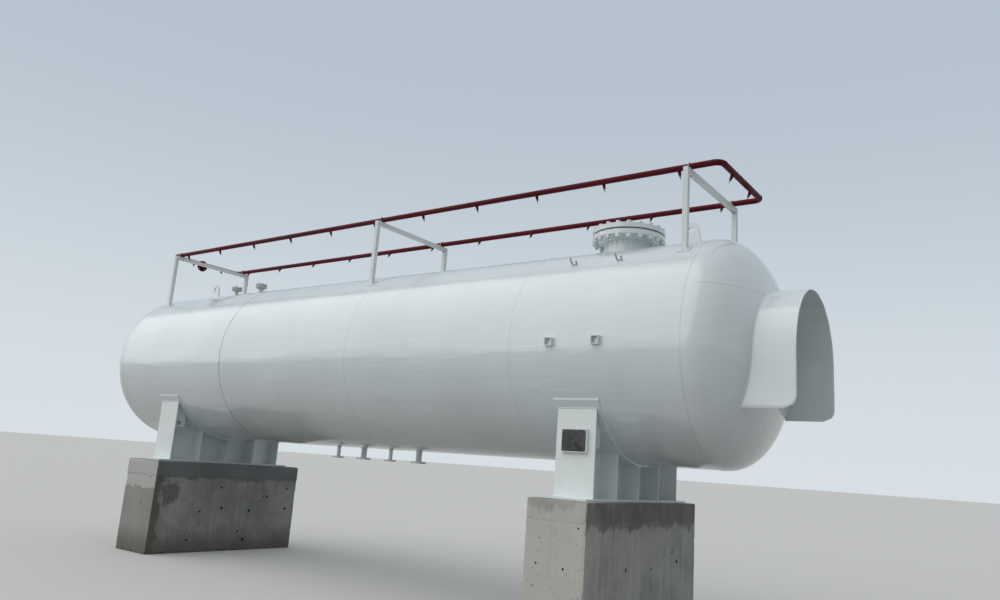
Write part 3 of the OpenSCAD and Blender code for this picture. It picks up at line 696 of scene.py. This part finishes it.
def makeHood():
    bm = bmesh.new()
    deep = hood["depthSteps"]
    layers = []
    for inset in (0.0, hood["wall"]):
        rows = []
        for y, z in hoodOutline(inset):
            start, stop = headFace(y, z) - hood["sunk"], hoodMouth(z)
            rows.append([bm.verts.new((start + (stop - start) * i / deep, y, z)) for i in range(deep + 1)])
        layers.append(rows)
    outer, inner = layers
    last = len(outer) - 1
    for i in range(last):
        for j in range(deep):
            bm.faces.new((outer[i][j], outer[i][j + 1], outer[i + 1][j + 1], outer[i + 1][j]))
            bm.faces.new((inner[i][j], inner[i + 1][j], inner[i + 1][j + 1], inner[i][j + 1]))
        for j in (0, deep):
            bm.faces.new((outer[i][j], outer[i + 1][j], inner[i + 1][j], inner[i][j]))
    for i in (0, last):
        for j in range(deep):
            bm.faces.new((outer[i][j], outer[i][j + 1], inner[i][j + 1], inner[i][j]))
    piece = newPiece("gaugeHood", bm, tankPaint)
    roundEdges(piece, hood["rim"], False)
    smooth(piece.data, 50)
    carry(piece, "tank_paint", "gauge_hood")


makeHood()
print("gauge hood made")


# Flanges, covers, studs and nuts

def nut(bm, radius, base, height):
    # A nut or bolt head with its free corners chamfered; a height below zero turns it over
    hexagon(bm, radius, ((1.0, base), (1.0, base + 0.80 * height), (0.90, base + height)))


def threadOutline(radius, low, high, turns):
    outline = []
    for i in range(turns + 1):
        height = low + (high - low) * i / turns
        outline.append((radius * 0.99, height))
        if i < turns:
            outline.append((radius * 0.87, height + (high - low) / turns / 2))
    return outline


studSize = {"nutHeight": 0.013, "tail": 0.003, "nutShare": 1.7}


def nutAndStud(size, grip):
    # A stud through two flanges with a nut at each end and a thread turn showing
    bm = bmesh.new()
    radius = size["stud"]
    height, tail = studSize["nutHeight"], studSize["tail"]
    low, high = -height - tail, grip + height + tail
    thread = threadOutline(radius, low, low + tail, 2) + threadOutline(radius, high - tail, high, 2)
    ends = low - 0.001, high + 0.001
    lathe(bm, [(0, ends[0]), (radius * 0.8, ends[0])] + thread + [(radius * 0.8, ends[1]), (0, ends[1])],
          12, Matrix())
    nut(bm, studSize["nutShare"] * radius, 0.0, -height)
    nut(bm, studSize["nutShare"] * radius, grip, height)
    return newPiece("studPattern", bm, tankPaint)


def headAndNut(size, grip):
    # A hexagon bolt: its head on the cover, its nut and the end of the thread under the flange
    bm = bmesh.new()
    radius, height = size["bolt"], size["nutHeight"]
    foot = -height - size["tail"]
    thread = threadOutline(radius, foot + 0.002, -height, 7)
    shank = [(radius, 0.002), (radius, grip + 0.002), (0, grip + 0.002)]
    lathe(bm, [(0, foot), (radius * 0.8, foot)] + thread + shank, 14, Matrix())
    nut(bm, size["nutRadius"], 0.0, -height)
    nut(bm, size["nutRadius"], grip, size["headHeight"])
    return newPiece("boltPattern", bm, tankPaint)


def scatter(name, points, turns, pattern, material, slotName, *nodes):
    piece = grow(name, points, [], fittedCopies, {"Copy": pattern, "Finish": material}, turns)
    bpy.data.objects.remove(pattern)
    carry(piece, slotName, *nodes)


def boltRing(name, size, x, z, pattern, material, slotName, *nodes):
    points = []
    turns = []
    for i in range(size["bolts"]):
        turn = 2 * pi * (i + 0.5) / size["bolts"]
        points.append((x + size["circle"] * cos(turn), size["circle"] * sin(turn), z))
        turns.append((0, 0, turn * 3 + 0.3 * noise.noise(Vector((i * 3.1, x, z)))))
    scatter(name, points, turns, pattern, material, slotName, *nodes)


def makeManway():
    joint = manwayJoint
    radius, height, raised = manway["flangeRadius"], manway["flangeHeight"], manway["raisedFace"]
    neck, wall = manway["neckRadius"], manway["neckWall"]
    face = neck + manway["faceWidth"]
    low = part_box("manway_neck")[0].z
    base = joint + manway["gasket"]
    top = base + height
    lower = [(neck - wall, low), (neck, low), (neck, joint - height - 0.02), (neck + wall, joint - height)]
    lower += chamfered(radius, joint - height, joint - raised, 0.004)
    lower += [(face + 0.002, joint - raised), (face, joint), (neck - wall, joint)]
    cover = [(0, base), (face, base), (face + 0.002, base + raised), (radius - 0.004, base + raised),
             (radius, base + raised + 0.004), (radius, top - 0.005), (radius - 0.005, top), (0, top)]
    ring = [(neck, joint), (face - 0.003, joint), (face, joint + 0.0035), (face - 0.003, base), (neck, base)]
    for name, outline, material, slotName, node in (
            ("manwayNeck", lower, manwayPaint, "tank_paint", "manway_neck"),
            ("manwayCover", cover, manwayPaint, "tank_paint", "manway_cover"),
            ("manwayGasket", ring, gasketRubber, "gasket", "manway_gasket")):
        bm = bmesh.new()
        lathe(bm, outline, 144, Matrix.Translation((manway["x"], 0, 0)))
        carry(newPiece(name, bm, material, 25), slotName, node)
    bolt = headAndNut(manway, 2 * height + manway["gasket"])
    boltRing("manwayStuds", manway, manway["x"], joint - height, bolt, manwayPaint, "tank_paint",
             "manway_studs")


topFlange = {"joint": 0.143, "gap": 0.003, "wall": 0.006, "taper": 0.055, "raisedFace": 0.0015,
             "faceInset": 0.014}


def makeTopNozzles():
    joint, gap, raised = topZ + topFlange["joint"], topFlange["gap"], topFlange["raisedFace"]
    necks = bmesh.new()
    covers = bmesh.new()
    for x, size in topNozzles:
        place = Matrix.Translation((x, 0, 0))
        low = axisZ + sqrt((tankRadius - shell["wall"]) ** 2 - size["neck"] ** 2)
        radius, height, neck, hub = size["radius"], size["height"], size["neck"], size["hub"]
        foot, base = joint - height, joint + gap
        inner, face, top = neck - topFlange["wall"], size["circle"] - topFlange["faceInset"], base + height
        outline = [(inner, low), (neck, low), (neck, foot - topFlange["taper"]), (hub, foot - 0.006),
                   (hub, foot)]
        outline += chamfered(radius, foot, joint - raised, 0.002)
        outline += [(face + 0.001, joint - raised), (face, joint), (inner, joint)]
        lathe(necks, outline, 64, place)
        lathe(covers, [(0, joint), (face, joint), (face, base), (radius - 0.002, base),
                       (radius, base + 0.002), (radius, top - 0.003), (radius - 0.003, top), (0, top)],
              64, place)
    carry(newPiece("topNozzles", necks, greyPrimer, 25), "tank_paint", "top_nozzles")
    carry(newPiece("topNozzleCovers", covers, greyPrimer, 25), "bolt_metal", "top_nozzle_covers")
    for number, (x, size) in enumerate(topNozzles):
        replaced = [] if number else ["top_nozzle_studs"]
        boltRing("topNozzleStuds" + str(number + 1), size, x, joint - size["height"],
                 nutAndStud(size, 2 * size["height"] + gap), greyPrimer, "bolt_metal", *replaced)


makeManway()
makeTopNozzles()
print("manway and top nozzles made")


# CAD pieces that keep their shape and get rounded edges

def dress(name, material, slotName, edge=0.0):
    node = "".join("_" + letter.lower() if letter.isupper() else letter for letter in name)
    bm = bmesh.new()
    bm.from_mesh(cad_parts[node].data)
    bmesh.ops.remove_doubles(bm, verts=bm.verts, dist=0.00002)
    bmesh.ops.dissolve_limit(bm, angle_limit=radians(0.4), verts=bm.verts, edges=bm.edges)
    piece = newPiece(name, bm, material, 32, recalc=False)
    if edge > 0:
        roundEdges(piece, edge, True)
    carry(piece, slotName, node)


saddleEdges = {"basePlate": 0.002, "saddleWeb": 0.0, "saddleRibs": 0.0015, "endPlates": 0.002}
for side in ("Left", "Right"):
    for stem, edge in saddleEdges.items():
        dress(stem + side, saddlePaint, "saddle_paint", edge)
    dress("wearPlate" + side, tankPaint, "saddle_paint", 0.002)
    dress("liftingLug" + side, tankPaint, "tank_paint", 0.002)
dress("saddleLugs", saddlePaint, "saddle_paint", 0.0015)
dress("plateHolder", saddlePaint, "saddle_paint", 0.001)
dress("lugPads", tankPaint, "tank_paint", 0.002)
dress("ladderHooks", hookPaint, "tank_paint")
dress("ladderClips", clipPaint, "tank_paint", 0.001)
dress("bottomNozzles", tankPaint, "tank_paint")
for stem in ("Left", "Middle", "Right"):
    dress("portal" + stem, framePaint, "frame_paint", 0.003)
for stem in ("PipeFront", "PipeRear", "PipeRightEnd", "Header"):
    dress("spray" + stem, pipePaint, "pipe_paint")
dress("pipeClamps", zincSteel, "bolt_metal")
print("CAD pieces dressed")


# Blank plate with its four screws

blankPlate = {"corner": 0.012, "lip": 0.0012, "screwInset": 0.014, "screwRadius": 0.0045}


def makeBlankPlate():
    low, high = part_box("blank_plate")
    corner = blankPlate["corner"]
    outline = []
    for number, (sx, sz) in enumerate(((1, 1), (-1, 1), (-1, -1), (1, -1))):
        cx, cz = (high.x if sx > 0 else low.x), (high.z if sz > 0 else low.z)
        for i in range(7):
            turn = radians(90 * number + 15 * i)
            outline.append((cx + corner * (cos(turn) - sx), cz + corner * (sin(turn) - sz)))
    middle = Vector(((low.x + high.x) / 2, (low.z + high.z) / 2))
    bm = bmesh.new()
    rings = []
    for y, shrink in ((high.y, 0.0), (low.y + blankPlate["lip"], 0.0), (low.y + 0.0004, 0.0015)):
        ring = []
        for x, z in outline:
            inward = (middle - Vector((x, z))).normalized() * shrink
            ring.append(bm.verts.new((x + inward.x, y, z + inward.y)))
        rings.append(ring)
    joinRings(bm, rings)
    carry(newPiece("blankPlate", bm, plateDark, 30), "plate_metal", "blank_plate")
    radius = blankPlate["screwRadius"]
    bm = bmesh.new()
    lathe(bm, [(0, -0.0015), (radius, -0.0015), (radius, 0.0008), (radius * 0.7, 0.0021),
               (radius * 0.3, 0.0025), (radius * 0.3, 0.0012), (0, 0.0012)],
          12, Matrix.Rotation(pi / 2, 4, "X"))
    screw = newPiece("screwPattern", bm, zincSteel)
    inset = blankPlate["screwInset"]
    xs, zs = ((low[axis] + inset, high[axis] - inset) for axis in (0, 2))
    points = [(x, low.y + 0.0006, z) for x in xs for z in zs]
    scatter("plateScrews", points, [(0, 0.4 * i, 0) for i in range(4)], screw, zincSteel, "bolt_metal")


makeBlankPlate()


# Spray nozzles: a red socket welded to the pipe, a hexagon and a tapered corkscrew tip

spray = {"count": 11, "pitch": 0.825, "middle": -0.044, "crossHalf": 0.26, "tilt": radians(25),
         "length": 0.085, "socketRadius": 0.016, "hexRadius": 0.0144, "tipTop": 0.0085, "tipEnd": 0.002,
         "turns": 3.25, "coil": 0.62, "barTop": 0.0034, "barEnd": 0.0014, "shaft": 0.0095, "elbow": 0.076}
pipeLow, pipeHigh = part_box("spray_pipe_front")
pipeRadius = (pipeHigh.z - pipeLow.z) / 2
pipeZ = pipeHigh.z - pipeRadius
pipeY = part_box("spray_pipe_rear")[1].y - pipeRadius
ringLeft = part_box("spray_header")[1].x - spray["elbow"]
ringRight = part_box("spray_pipe_right_end")[1].x - pipeRadius
socketEnd = -pipeRadius - 0.3 * spray["length"]


def nozzleSocket():
    bm = bmesh.new()
    radius = spray["socketRadius"]
    foot, start = radius + 0.004, -pipeRadius + 0.008
    lathe(bm, [(0, start), (foot, start), (foot, -pipeRadius), (radius, -pipeRadius - 0.005),
               (radius, socketEnd + 0.0015), (radius - 0.0015, socketEnd), (0, socketEnd)], 20, Matrix())
    return newPiece("socketPattern", bm, pipePaint)


def nozzleTip():
    bm = bmesh.new()
    hexLow = socketEnd - 0.2 * spray["length"]
    hexagon(bm, spray["hexRadius"], (
        (0.86, socketEnd), (1.0, socketEnd - 0.002), (1.0, hexLow + 0.002), (0.86, hexLow)))
    shaft = spray["shaft"]
    lathe(bm, [(0, hexLow + 0.001), (shaft, hexLow + 0.001), (shaft, hexLow - 0.006),
               (0.004, hexLow - 0.010), (0, hexLow - 0.010)], 14, Matrix())
    # The corkscrew: a bar that winds down to a point
    start, stop = hexLow - 0.006, -pipeRadius - spray["length"] + 0.0015
    steps = int(spray["turns"] * 12)
    rings = []
    for i in range(steps + 1):
        share = i / steps
        turn = 2 * pi * spray["turns"] * share
        outward = Vector((cos(turn), sin(turn), 0))
        wide = spray["tipTop"] * (1 - share) + spray["tipEnd"] * share
        centre = outward * spray["coil"] * wide + Vector((0, 0, start + (stop - start) * share))
        thick = spray["barTop"] * (1 - share) + spray["barEnd"] * share
        ring = [centre + outward * out + Vector((0, 0, up)) for out, up in around(5, thick)]
        rings.append([bm.verts.new(point) for point in ring])
    joinRings(bm, rings)
    return newPiece("tipPattern", bm, nozzleBronze)


def makeSprayNozzles():
    points = []
    turns = []
    tilt = spray["tilt"]
    for i in range(spray["count"]):
        x = spray["middle"] + (i - (spray["count"] - 1) / 2) * spray["pitch"]
        points += [(x, -pipeY, pipeZ), (x, pipeY, pipeZ)]
        turns += [(tilt, 0, 0), (-tilt, 0, 0)]
    for y in (-spray["crossHalf"], spray["crossHalf"]):
        points += [(ringLeft, y, pipeZ), (ringRight, y, pipeZ)]
        turns += [(0, -tilt, 0), (0, tilt, 0)]
    scatter("spraySockets", points, turns, nozzleSocket(), pipePaint, "pipe_paint")
    scatter("sprayNozzles", points, turns, nozzleTip(), nozzleBronze, "nozzle_metal", "spray_nozzles")


makeSprayNozzles()
print("spray nozzles made")


# Weld beads

weld = {"seamRadius": 0.014, "seamRise": 0.0022, "seamStep": 0.014, "plateSeam": 0.475, "plateReach": 0.995,
        "filletRadius": 0.006, "wearRadius": 0.011, "pipeBead": 0.0042, "pipeSunk": 0.0022,
        "pipeJoints": (-1.6, 1.5)}
saddle = {"rib": 0.006, "web": 0.007, "wear": 0.012, "wearHalf": 0.24, "wearAngle": 60, "endPlate": 0.014,
          "lugX": 0.1475, "lugUp": 0.455, "lugDeep": 0.17, "lugHalf": 0.006}
fitting = {"padHalfX": 0.16, "padHalfY": 0.11, "tube": 0.05, "postY": 0.66, "footHalf": 0.055,
           "footUp": 0.010}


class WeldRuns:
    # Collects polylines as points and edges
    def __init__(self):
        self.points = []
        self.edges = []

    def add(self, run, closed=False):
        first = len(self.points)
        self.points += [tuple(point) for point in run]
        self.edges += [(first + i, first + i + 1) for i in range(len(run) - 1)]
        if closed:
            self.edges.append((first + len(run) - 1, first))

    def lay(self, name, radius, paint, slotName, step=0.009, ripple=0.12, sides=6):
        piece = grow(name, self.points, self.edges, weldBead, {
            "Bead Radius": radius, "Step": step, "Ripple": ripple, "Sides": sides, "Paint": paint})
        carry(piece, slotName)


def arcRun(x, radius, start, stop, steps):
    # Angles in degrees from the lowest point of the tank
    turns = [radians(start + (stop - start) * i / steps) for i in range(steps + 1)]
    return [(x, radius * sin(turn), axisZ - radius * cos(turn)) for turn in turns]


def onShell(x, y, lift=0.0, up=1):
    return (x, y, axisZ + up * sqrt((tankRadius + lift) ** 2 - y * y))


def neckRun(x, radius, up):
    return [onShell(x + across, y, up=up) for across, y in around(48, radius)]


def seamWelds():
    runs = WeldRuns()
    sunk = weld["seamRadius"] - weld["seamRise"]
    radius = tankRadius - sunk
    for x in courseEnds:
        runs.add(arcRun(x, radius, 0, 360 - 360 / 480, 479), closed=True)
    # The right end is made of two plates, joined well above its middle
    up = weld["plateSeam"]
    reach = sqrt(radius ** 2 - up ** 2) * weld["plateReach"]
    depth = headDepth - shell["skirt"] - sunk
    run = []
    for i in range(161):
        y = reach * (i / 80 - 1)
        bulge = sqrt(1 - (y * y + up ** 2) / radius ** 2)
        run.append((courseEnds[4] + shell["skirt"] + depth * bulge, y, axisZ + up))
    runs.add(run)
    runs.lay("seamWelds", weld["seamRadius"], tankPaint, "tank_paint", weld["seamStep"], 0.02, 10)


def saddleWelds(side):
    fillets = WeldRuns()
    upper = WeldRuns()
    baseLow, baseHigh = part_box("base_plate_" + side)
    endLow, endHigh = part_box("end_plates_" + side)
    x = (baseLow.x + baseHigh.x) / 2
    floor = baseHigh.z
    wearRadius = tankRadius + saddle["wear"]
    half = (endHigh.x - endLow.x) / 2
    outside, inside = endHigh.y, endHigh.y - saddle["endPlate"]

    def under(y):
        return axisZ - sqrt(wearRadius ** 2 - y * y)

    def angleAt(y):
        return degrees(asin(y / wearRadius))

    for way in (-1, 1):
        near, far = x + way * saddle["web"], x + way * half
        for number in (-1, 0, 1):
            for flank in (-1, 1):
                y = number * (endHigh.y - endLow.y) / 4 + flank * saddle["rib"]
                fillets.add([(far, y, floor), (near, y, floor), (near, y, under(y)), (far, y, under(y))])
        for y in (-inside, inside):
            fillets.add([(far, y, floor), (near, y, floor), (near, y, under(y))])
        fillets.add([(near, -inside, floor), (near, inside, floor)])
        fillets.add(arcRun(near, wearRadius, -angleAt(inside), angleAt(inside), 60))
        for z in (floor, under(outside)):
            fillets.add([(x - half, way * outside, z), (x + half, way * outside, z)])
        # The drilled lugs stand behind the end plates, on the right side of the saddle only
        for flank in (-saddle["lugHalf"], saddle["lugHalf"]):
            lugX = x + saddle["lugX"] + flank
            fillets.add([(lugX, way * inside, z) for z in (floor + saddle["lugUp"], under(inside))])
            fillets.add(arcRun(lugX, wearRadius, way * angleAt(inside - saddle["lugDeep"]),
                               way * angleAt(inside), 14))
        reach, angle = saddle["wearHalf"], saddle["wearAngle"]
        fillets.add(arcRun(x + way * reach, tankRadius, -angle, angle, 90))
        y, z = arcRun(x, tankRadius, way * angle, way * angle + 1, 1)[0][1:]
        upper.add([(x - reach, y, z), (x + reach, y, z)])
    fillets.lay("saddleWelds" + side.capitalize(), weld["filletRadius"], saddlePaint, "saddle_paint")
    upper.lay("wearWelds" + side.capitalize(), weld["wearRadius"], saddlePaint, "saddle_paint")


def padRun(x, y, halfX, halfY, lift=0.0):
    # A rectangle on the shell, for the foot of a pad or post
    corners = [(x + halfX * wayX, y + halfY * wayY) for wayX, wayY in ((-1, -1), (-1, 1), (1, 1), (1, -1))]
    run = []
    for (ax, ay), (bx, by) in zip(corners, corners[1:] + corners[:1]):
        run += [onShell(ax + (bx - ax) * i / 10, ay + (by - ay) * i / 10, lift) for i in range(10)]
    return run


def fittingWelds():
    runs = WeldRuns()
    runs.add(neckRun(manway["x"], manway["neckRadius"], 1), closed=True)
    for x, size in topNozzles:
        runs.add(neckRun(x, size["neck"], 1), closed=True)
    for x, size in lowNozzles:
        runs.add(neckRun(x, size["neck"], -1), closed=True)
        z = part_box("bottom_nozzles")[0].z + size["height"]
        runs.add([(x + across, y, z) for across, y in around(40, size["neck"])], closed=True)
    for side in ("left", "right"):
        low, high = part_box("lifting_lug_" + side)
        corners = (low.x, low.y), (high.x, low.y), (high.x, high.y), (low.x, high.y)
        runs.add([(x, y, low.z) for x, y in corners], closed=True)
        runs.add(padRun((low.x + high.x) / 2, 0, fitting["padHalfX"], fitting["padHalfY"]), closed=True)
    foot, half = fitting["footHalf"], fitting["tube"] / 2
    for name in ("portal_left", "portal_middle", "portal_right"):
        low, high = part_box(name)
        middle = (low.x + high.x) / 2
        for way in (-1, 1):
            postY = way * fitting["postY"]
            runs.add(padRun(middle, postY, foot, foot * cos(asin(postY / tankRadius))), closed=True)
            runs.add(padRun(middle, postY, half, half, fitting["footUp"]), closed=True)
            y, beam = postY - way * half, high.z - fitting["tube"]
            runs.add([(middle - half, y, high.z), (middle - half, y, beam), (middle + half, y, beam),
                      (middle + half, y, high.z)])
    runs.add([(headFace(y, z), y, z) for y, z in hoodOutline(-0.001)])
    low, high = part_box("ladder_clips")
    half = (high.z - low.z) / 2
    for x in (low.x + half, high.x - half):
        corners = (x - half, low.z), (x + half, low.z), (x + half, high.z), (x - half, high.z)
        runs.add([(x, -sqrt(tankRadius ** 2 - (z - axisZ) ** 2), z) for x, z in corners], closed=True)
    runs.lay("fittingWelds", weld["filletRadius"], tankPaint, "tank_paint")


def pipeWelds():
    # Butt welds where the bends meet the straight pipes
    runs = WeldRuns()
    circle = around(28, pipeRadius - weld["pipeSunk"])
    elbow = spray["elbow"]
    for way in (-1, 1):
        for x, inward in ((ringLeft, 1), (ringRight, -1)):
            runs.add([(x + inward * elbow, way * pipeY + out, pipeZ + up) for out, up in circle], closed=True)
            runs.add([(x + out, way * (pipeY - elbow), pipeZ + up) for out, up in circle], closed=True)
        for x in weld["pipeJoints"]:
            runs.add([(x, way * pipeY + out, pipeZ + up) for out, up in circle], closed=True)
    runs.lay("pipeWelds", weld["pipeBead"], pipePaint, "pipe_paint", 0.005, 0.15)


seamWelds()
saddleWelds("left")
saddleWelds("right")
fittingWelds()
pipeWelds()
print("welds made")


# Concrete piers with mortar caps

pier = {"edge": 0.012, "step": 0.024, "rough": 0.0035, "skin": 0.004, "capDrop": 0.014, "capDown": 0.022,
        "bodyOverlap": 0.03, "capInset": {"left": 0.0, "right": 0.0035}, "chip": 0.02, "chipFrom": 0.18,
        "tieRadius": 0.02, "tieDepth": 0.035, "tieRagged": 0.32, "frontShare": 0.6,
        "tiesLeft": [(-0.16, 0.89), (0.60, 0.77), (0.66, 0.77), (-0.46, 0.55), (-0.11, 0.60), (0.37, 0.56),
                     (1.03, 0.89), (1.03, 0.59), (0.32, 0.15), (-0.61, 0.17), (0.21, 0.27)],
        "tiesRight": [(0.61, 0.74), (0.73, 0.64), (-0.42, 0.62), (0.12, 0.60), (-0.05, 0.28), (0.80, 0.24)],
        "frontHoles": [(-0.18, 0.67), (0.10, 0.65), (0.235, 1.0)]}


def castBlock(name, low, high, material, seed, raggedFoot=0.0):
    bm = bmesh.new()
    size = high - low
    middle = (low + high) / 2
    unit = Matrix.Identity(3)
    for axis in range(3):
        u, v = (axis + 1) % 3, (axis + 2) % 3
        for way in (-1, 1):
            placed = Matrix((size[u] * unit[u], size[v] * unit[v], unit[axis])).transposed().to_4x4()
            placed.translation = middle + way * size[axis] / 2 * unit[axis]
            bmesh.ops.create_grid(bm, x_segments=max(2, round(size[u] / pier["step"])),
                                  y_segments=max(2, round(size[v] / pier["step"])), size=0.5, matrix=placed)
    bmesh.ops.remove_doubles(bm, verts=bm.verts, dist=0.0005)
    # Worn edges and chipped corners; the foot stays flat, the top nearly so
    edge = pier["edge"]
    for vert in bm.verts:
        point = vert.co.copy()
        core = Vector([min(max(point[i], low[i] + edge), high[i] - edge) for i in range(3)])
        away = point - core
        sides = sum(1 for i in range(3) if abs(away[i]) > edge * 0.3)
        if sides == 0:
            continue
        wear = pier["rough"] * (0.5 + 0.5 * noise.noise(point * 3.1 + Vector((seed, 0, 0))))
        if sides > 1:
            chip = noise.noise(point * 9.0 + Vector((0, seed, 0)))
            wear += pier["chip"] * max(0.0, chip - pier["chipFrom"])
        elif abs(away.z) > edge * 0.9:
            wear = 0.0 if point.z < middle.z else wear * 0.3
        vert.co = core + away.normalized() * (edge - wear)
        if raggedFoot and point.z < low.z + 0.001:
            ripple = noise.noise(Vector((point.x * 5, point.y * 5, seed))) + 0.5 * noise.noise(point * 21)
            vert.co.z += raggedFoot * ripple
    return newPiece(name, bm, material, 60)


def cutTies(piece, low, high, ties, seed):
    # Holes of the form ties and lost pebbles, each with a ragged rim
    bm = bmesh.new()
    spots = [(x, y, z, "Y") for y, z in ties for x in (low.x, high.x)]
    spots += [((low.x + high.x) / 2 + x, y, z, "X") for x, z in pier["frontHoles"] for y in (low.y, high.y)]
    for number, (x, y, z, axis) in enumerate(spots):
        radius = pier["tieRadius"] * (0.95 + 0.5 * noise.noise(Vector((number * 1.7, seed, 0))))
        radius *= pier["frontShare"] if axis == "X" else 1.0
        turn = Matrix.Rotation(pi / 2, 4, axis) @ Matrix.Rotation(number * 1.1, 4, "Z")
        place = Matrix.Translation((x, y, z)) @ turn
        made = bmesh.ops.create_cone(bm, cap_ends=True, segments=11, radius1=radius, radius2=radius,
                                     depth=2 * pier["tieDepth"])
        for vert in made["verts"]:
            ray = atan2(vert.co.y, vert.co.x)
            share = 1 + pier["tieRagged"] * noise.noise(Vector((2 * cos(ray), 2 * sin(ray), number * 3.3)))
            vert.co = place @ Vector((vert.co.x * share, vert.co.y * share, vert.co.z))
    cutAway(piece, bm, plateDark, 50)


def makePier(side, concrete, mortar, seed):
    end = side.capitalize()
    low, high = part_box("pier_" + side)
    capLow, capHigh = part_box("pier_cap_" + side)
    skin = Vector((pier["skin"], pier["skin"], 0))
    overlap = Vector((0, 0, pier["bodyOverlap"]))
    trunk = castBlock("pier" + end, low + skin, high - skin + overlap, concrete, seed)
    cutTies(trunk, low + skin, high - skin, pier["ties" + end], seed)
    carry(trunk, "concrete", "pier_" + side)
    capLow.z -= pier["capDown"]
    inset = Vector((pier["capInset"][side], pier["capInset"][side], 0))
    cap = castBlock("pierCap" + end, capLow + inset, capHigh - inset, mortar, seed + 3, pier["capDrop"])
    carry(cap, "mortar", "pier_cap_" + side)


makePier("left", concreteLeft, mortarLeft, 1.7)
makePier("right", concreteRight, mortarRight, 6.3)
print("piers made")


# Floor, world, lamp and camera

studio = {"floorSize": 900, "floorSeen": (0.62, 0.62, 0.61), "floorBounce": (0.30, 0.30, 0.29),
          "backdropHigh": (0.47, 0.54, 0.62), "backdropLow": (0.68, 0.74, 0.78), "zenith": 0.63,
          "horizon": 0.33, "ground": 0.17, "sunPower": 1.34, "sunAngle": 88, "sunFrom": (-0.60, -0.80, 0.80)}
view = {"place": (6.987, -7.227, 1.476), "yaw": 36.66, "pitch": 12.03, "roll": 4.14, "lens": 27.99,
        "sensor": 36}


def seenShare(tree):
    # 1 for what the camera sees, straight or in a reflection, and 0 for what only gives light
    rays = put(tree, "ShaderNodeLightPath")
    return larger(larger(rays["Is Camera Ray"], rays["Is Glossy Ray"]), rays["Is Transmission Ray"])


def makeFloor():
    bm = bmesh.new()
    bmesh.ops.create_grid(bm, x_segments=1, y_segments=1, size=studio["floorSize"])
    material, shader, place = newMaterial("paleFloor")
    tone = blend(seenShare(shader.tree), studio["floorBounce"], studio["floorSeen"])
    shader.feed({"Base Color": tone, "Roughness": 0.9})
    newPiece("floor", bm, material)


def makeWorld():
    world = bpy.data.worlds.new("studio")
    bpy.context.scene.world = world
    world.use_nodes = True
    tree = world.node_tree
    height = parts(put(tree, "ShaderNodeTexCoord")["Generated"])[2]
    upper = fade(height, -0.02, 0.75, studio["horizon"], studio["zenith"])
    glow = upper * fade(height, -0.25, 0.0, studio["ground"], 1.0)
    light = put(tree, "ShaderNodeCombineColor", {0: glow * 0.97, 1: glow, 2: glow * 1.03})[0]
    backdrop = blend(fade(height, 0.0, 0.5), studio["backdropLow"], studio["backdropHigh"])
    Node(tree, tree.nodes["Background"]).feed({
        "Color": blend(seenShare(tree), light, backdrop), "Strength": 1.0})


def makeSun():
    lamp = bpy.data.lights.new("softKey", "SUN")
    lamp.energy = studio["sunPower"]
    lamp.angle = radians(studio["sunAngle"])
    lamp.color = (1.0, 0.98, 0.95)
    sun = newObject("softKey", lamp)
    sun.rotation_euler = Vector(studio["sunFrom"]).to_track_quat("Z", "Y").to_euler()


def makeCamera():
    data = bpy.data.cameras.new("photoView")
    data.sensor_width = view["sensor"]
    data.lens = view["lens"]
    camera = newObject("photoView", data)
    place = Matrix.Translation(view["place"])
    for angle, axis in ((view["yaw"], "Z"), (90 + view["pitch"], "X"), (view["roll"], "Z")):
        place = place @ Matrix.Rotation(radians(angle), 4, axis)
    camera.matrix_world = place
    bpy.context.scene.camera = camera


makeFloor()
makeWorld()
makeSun()
makeCamera()
bpy.context.scene.view_settings.view_transform = "Standard"
print("studio made")
